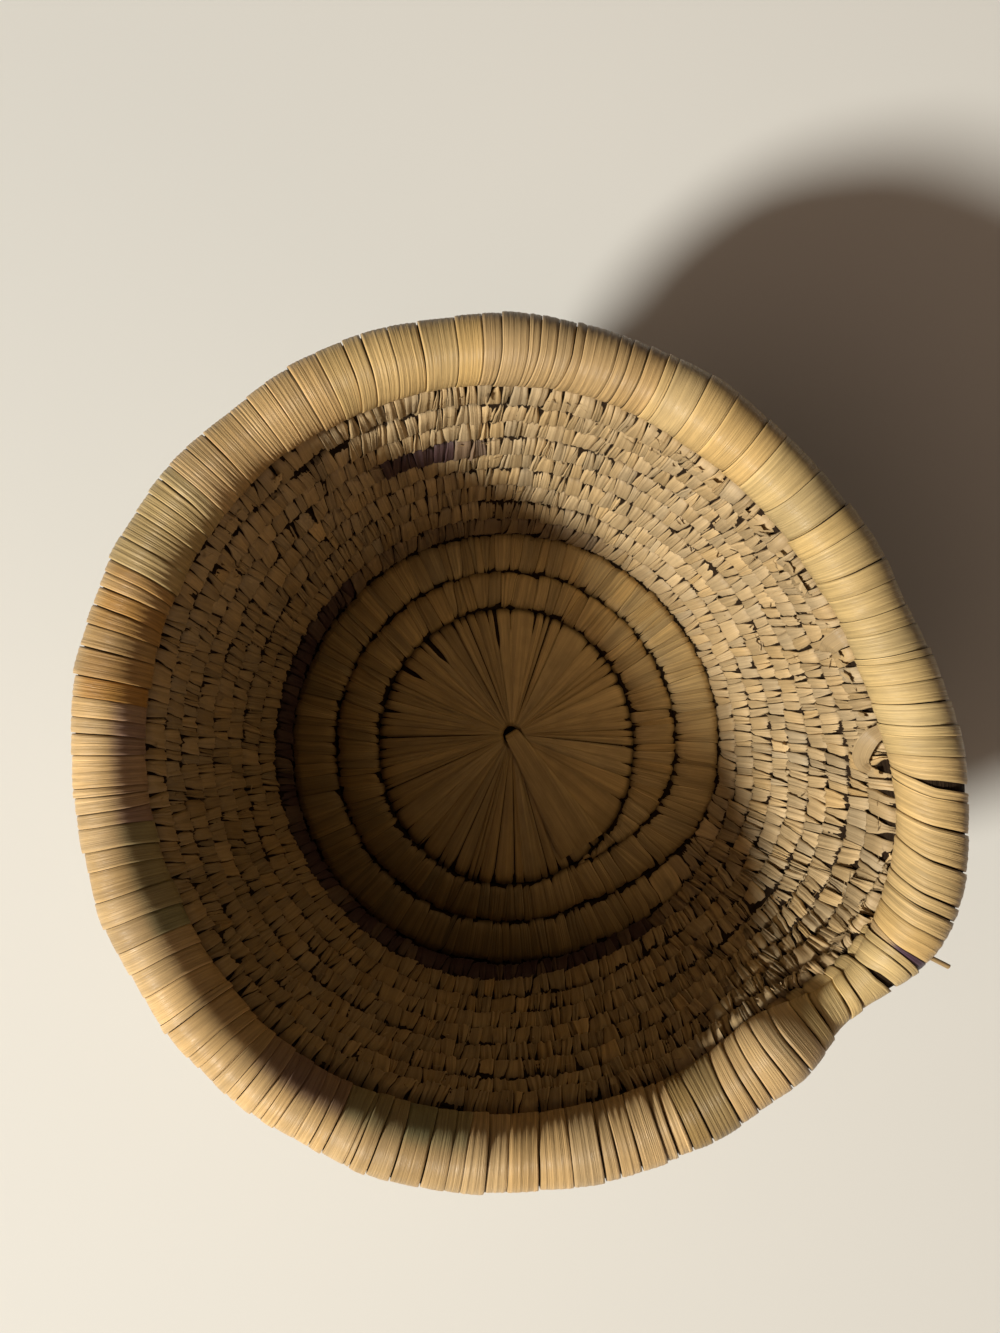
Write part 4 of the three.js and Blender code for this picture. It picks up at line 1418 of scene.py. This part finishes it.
class BASKET_OT_loose(Operator):
    """Adds the loose strips and the twig by the rim, and the frayed ends on the wall"""

    bl_idname = "basket.loose"
    bl_label = "Loose Ends"

    def execute(self, context):
        leaf, sizes = context.scene.basket_leaf, context.scene.basket_sewing
        strips = LeafStrips()
        for stations in (HANGING_STRIP, CURLED_STRIP):
            self.ribbon(strips, stations, leaf)
        self.twig(strips, leaf)
        add_piece("loose_strips", strips, bpy.data.materials["rim_leaf"])
        strips = LeafStrips()
        self.frayed_ends(strips, sizes.frayed, leaf)
        self.tabs(strips, sizes.tabs, leaf)
        add_piece("frayed_ends", strips, bpy.data.materials["wall_stitch"])
        return {"FINISHED"}

    def ribbon(self, strips, stations, leaf):
        """A loose strip along its stations, flat towards whoever looks into the basket."""
        degrees, out, up, half = np.array(stations).T
        knots = beside_roll(degrees * DEGREE, out * MM, up * MM)
        at, (*path, half) = along_stations(np.column_stack([knots, half * MM]), RIBBON_ROWS)
        path = np.stack(path, axis=-1)
        path[1:-1] = (path[:-2] + 2 * path[1:-1] + path[2:]) / 4
        angle = degrees.mean() * DEGREE
        inwards = -RIBBON_FACES_IN * math.cos(angle), -RIBBON_FACES_IN * math.sin(angle)
        facing = np.array([*inwards, RIBBON_FACES_UP])
        side = np.cross(np.gradient(path, axis=0), facing)
        side /= np.linalg.norm(side, axis=1, keepdims=True)
        across = np.linspace(-1, 1, RIBBON_COLUMNS)
        places = half[:, None] * across
        points = path[:, None, :] + places[..., None] * side[:, None, :]
        points = points + (RIBBON_CURL * np.cos(RIBBON_CURLS * across))[None, :, None] * facing
        colour = RIBBON_SHADE * np.array(leaf.stitch)
        strips.add(points[None], places[None], at[None, :, None] * MM, colour)

    def twig(self, strips, leaf):
        """A stalk of the hoop's grass that pokes out through the wraps."""
        out = np.linspace(*TWIG_ENDS, TWIG_ROWS)[:, None]
        corner = np.linspace(0, TURN, TWIG_CORNERS)[None, :]
        angle = TWIG_ANGLE + TWIG_HALF * np.cos(corner) / RIM_REACH
        points = beside_roll(angle, out, TWIG_HALF * np.sin(corner) - TWIG_DROP)
        strips.add(points[None], (corner * TWIG_HALF)[None], out[None], np.array(leaf.tan) * TWIG_SHADE)

    def tabs(self, strips, count, leaf):
        """Ends of the rim's wraps that hang out under the roll, most of them at the photograph's right."""
        rng = np.random.default_rng(TAB_SEED)
        each = partial(draw_each, rng, count)
        way = np.linspace(0, 1, 7)[None, :, None]
        across = np.linspace(-1, 1, 5)[None, None, :]
        length = each(*TAB_LENGTHS)
        half = each(*TAB_HALVES) * (1 - each(*TAB_TAPERS) * way)
        angle = np.where(each(0, 1) < TABS_ON_STRETCH, each(*TAB_STRETCH), each(0, TURN))
        angle = angle + (length * way * each(*TAB_LEANS) + half * across) / TAB_REACH
        lift = TAB_LIFT + each(*TAB_CURLS) * way**CURL_POWER + TAB_CUP * np.abs(across) * each(-1, 1)
        points = basket_point(WALL_TOP + TAB_ROOT - length * way, angle, 0.0, -HALF_THICKNESS - lift)
        colours = leaf_colours(rng, count, leaf.stitch, leaf.spread * TAB_SPREAD)[:, None, None, :]
        strips.add(points, half * across, length * way, colours)

    def frayed_ends(self, strips, count, leaf):
        """Thin slivers of leaf that stand off the wall, most of them near the rim."""
        rng = np.random.default_rng(FRAY_SEED)
        each = partial(draw_each, rng, count)
        way = np.linspace(0, 1, 6)[None, :, None]
        across = np.linspace(-1, 1, 3)[None, None, :]
        row = WALL_TURNS - FRAYED_ROWS * each(0, 1) ** 2
        start = start_at(BASE_TURNS + np.round(row)) - each(*FRAY_DROPS)
        lean = each(*FRAY_LEANS)
        length = each(*FRAY_LENGTHS)
        half = each(*FRAY_HALVES) * (1 - FRAY_TAPER * way)
        run = length * way * np.sin(lean) + half * across * np.cos(lean)
        rise = length * way * np.cos(lean) - half * across * np.sin(lean)
        unruly = UNRULY_STRETCH[0] + UNRULY_STRETCH[1] * each(*FRAY_PLACES)
        angle = np.where(each(0, 1) < FRAYED_ON_STRETCH, unruly * DEGREE, each(0, TURN))
        angle = angle + run / FRAY_REACH
        lift = each(*FRAY_CURLS) * way**CURL_POWER - FRAY_SINKS
        points = basket_point(np.minimum(start + rise, WALL_TOP), angle, 0.0, -HALF_THICKNESS - lift)
        colours = leaf_colours(rng, count, leaf.stitch, leaf.spread * FRAY_SPREAD)[:, None, None, :]
        strips.add(points, half * across, length * way, colours)


# The photograph's view, in its own pixels
PHOTO_SIZE = (1000, 1333)
MOUTH_MIDDLE = (521, 751)
STRAIGHT_DOWN = (477, 733)
CAMERA_OVER_RIM = 0.338
FILM_HEIGHT = 36  # mm
# Place, size and colour of the low lamp at the photograph's lower left, the soft one above it and the weak
# one from across
LAMPS = {
    "key": ((-1.25, -0.82, 1.18), 0.26, (1.0, 0.96, 0.88)),
    "fill": ((-1.15, -0.75, 1.65), 1.6, (1.0, 0.70, 0.50)),
    "bounce": ((0.85, -1.1, 0.75), 0.9, (1.0, 0.74, 0.55)),
}
LAMPS_AIM = Vector((0, 0, 0.12))
SKY_COLOUR = (1.0, 0.71, 0.55, 1)
FLOOR_HALF = 4


class BASKET_OT_stage(Operator):
    """Sets up the floor, the lamps and the camera"""

    bl_idname = "basket.stage"
    bl_label = "Stage"

    def execute(self, context):
        scene = context.scene
        stage = scene.basket_stage
        self.floor(scene, stage.floor)
        for name in LAMPS:
            self.lamp(scene, name, getattr(stage, f"{name}_watts"))
        self.sky(scene, stage.sky)
        self.camera(scene, stage.focal)
        scene.view_settings.view_transform = "Standard"
        return {"FINISHED"}

    def floor(self, scene, colour):
        mesh = bpy.data.meshes.new("floor")
        corners = [(x * FLOOR_HALF, y * FLOOR_HALF, 0) for x, y in ((-1, -1), (1, -1), (1, 1), (-1, 1))]
        mesh.from_pydata(corners, [], [(0, 1, 2, 3)])
        material = bpy.data.materials.new("floor")
        tree = node_tree(material)
        surface = linked(tree, "ShaderNodeBsdfPrincipled")
        surface.inputs["Base Color"].default_value = (*colour, 1)
        surface.inputs["Roughness"].default_value = 0.9
        linked(tree, "ShaderNodeOutputMaterial", surface.outputs[0])
        mesh.materials.append(material)
        floor = bpy.data.objects.new("floor", mesh)
        scene.collection.objects.link(floor)

    def lamp(self, scene, name, watts):
        """A round soft lamp that shines on the basket and does not fade with distance."""
        place, size, colour = LAMPS[name]
        light = bpy.data.lights.new(name, "AREA")
        light.shape = "DISK"
        light.size = size
        light.energy = watts
        light.color = colour
        light.use_nodes = True
        tree = light.node_tree
        falloff = linked(tree, "ShaderNodeLightFalloff", 1.0)
        tree.links.new(falloff.outputs["Constant"], tree.nodes["Emission"].inputs["Strength"])
        lamp = bpy.data.objects.new(name, light)
        lamp.location = place
        lamp.rotation_euler = (LAMPS_AIM - Vector(place)).to_track_quat("-Z", "Y").to_euler()
        scene.collection.objects.link(lamp)

    def sky(self, scene, strength):
        world = bpy.data.worlds.new("studio")
        world.use_nodes = True
        sky = world.node_tree.nodes["Background"]
        sky.inputs["Color"].default_value = SKY_COLOUR
        sky.inputs["Strength"].default_value = strength
        scene.world = world

    def camera(self, scene, lens):
        """Places the camera by where the mouth's middle and the straight-down way lie in the photograph."""
        focal = lens / FILM_HEIGHT * PHOTO_SIZE[1]

        def ray(pixel):
            return Vector((pixel[0] - PHOTO_SIZE[0] / 2, PHOTO_SIZE[1] / 2 - pixel[1], -focal)) / focal

        up = -ray(STRAIGHT_DOWN).normalized()
        right = Vector((1, 0, 0))
        right = (right - up * right.dot(up)).normalized()
        turned = Matrix((right, up.cross(right), up))
        rim_middle = Vector((AXIS.x, AXIS.y, float(roll_middle(np.array(0.0))[2])))
        place = rim_middle - turned @ (ray(MOUTH_MIDDLE) * CAMERA_OVER_RIM)
        camera = bpy.data.objects.new("camera", bpy.data.cameras.new("camera"))
        camera.data.sensor_fit = "VERTICAL"
        camera.data.sensor_height = FILM_HEIGHT
        camera.data.lens = lens
        camera.data.clip_start = 0.01
        camera.matrix_world = Matrix.Translation(place) @ turned.to_4x4()
        scene.collection.objects.link(camera)
        scene.camera = camera


class BASKET_PT_panel(Panel):
    """Lists the basket's settings and the steps that make its pieces"""

    bl_idname = "BASKET_PT_panel"
    bl_label = "Coiled Basket"
    bl_space_type = "VIEW_3D"
    bl_region_type = "UI"
    bl_category = "Basket"

    def draw(self, context):
        for group in SETTINGS:
            box = self.layout.box()
            settings = getattr(context.scene, group)
            for name in settings.bl_rna.properties.keys():
                if name not in {"rna_type", "name"}:
                    box.prop(settings, name)
        for operator in OPERATORS:
            self.layout.operator(operator.bl_idname)


SETTINGS = {
    "basket_leaf": BasketLeaf,
    "basket_sewing": BasketSewing,
    "basket_rosette": BasketRosette,
    "basket_stage": BasketStage,
}
OPERATORS = (
    BASKET_OT_bundle,
    BASKET_OT_sewing,
    BASKET_OT_rosette,
    BASKET_OT_tail,
    BASKET_OT_rim,
    BASKET_OT_loose,
    BASKET_OT_stage,
)


def register():
    for group in SETTINGS.values():
        bpy.utils.register_class(group)
    for cls in (*OPERATORS, BASKET_PT_panel):
        bpy.utils.register_class(cls)
    for name, group in SETTINGS.items():
        setattr(bpy.types.Scene, name, PointerProperty(type=group))


def unregister():
    for name in SETTINGS:
        delattr(bpy.types.Scene, name)
    for cls in (BASKET_PT_panel, *reversed(OPERATORS), *reversed(SETTINGS.values())):
        bpy.utils.unregister_class(cls)


def main():
    register()
    bpy.ops.basket.bundle()
    bpy.ops.basket.sewing()
    bpy.ops.basket.rosette()
    bpy.ops.basket.tail()
    bpy.ops.basket.rim()
    bpy.ops.basket.loose()
    bpy.ops.basket.stage()


if __name__ == "__main__":
    main()
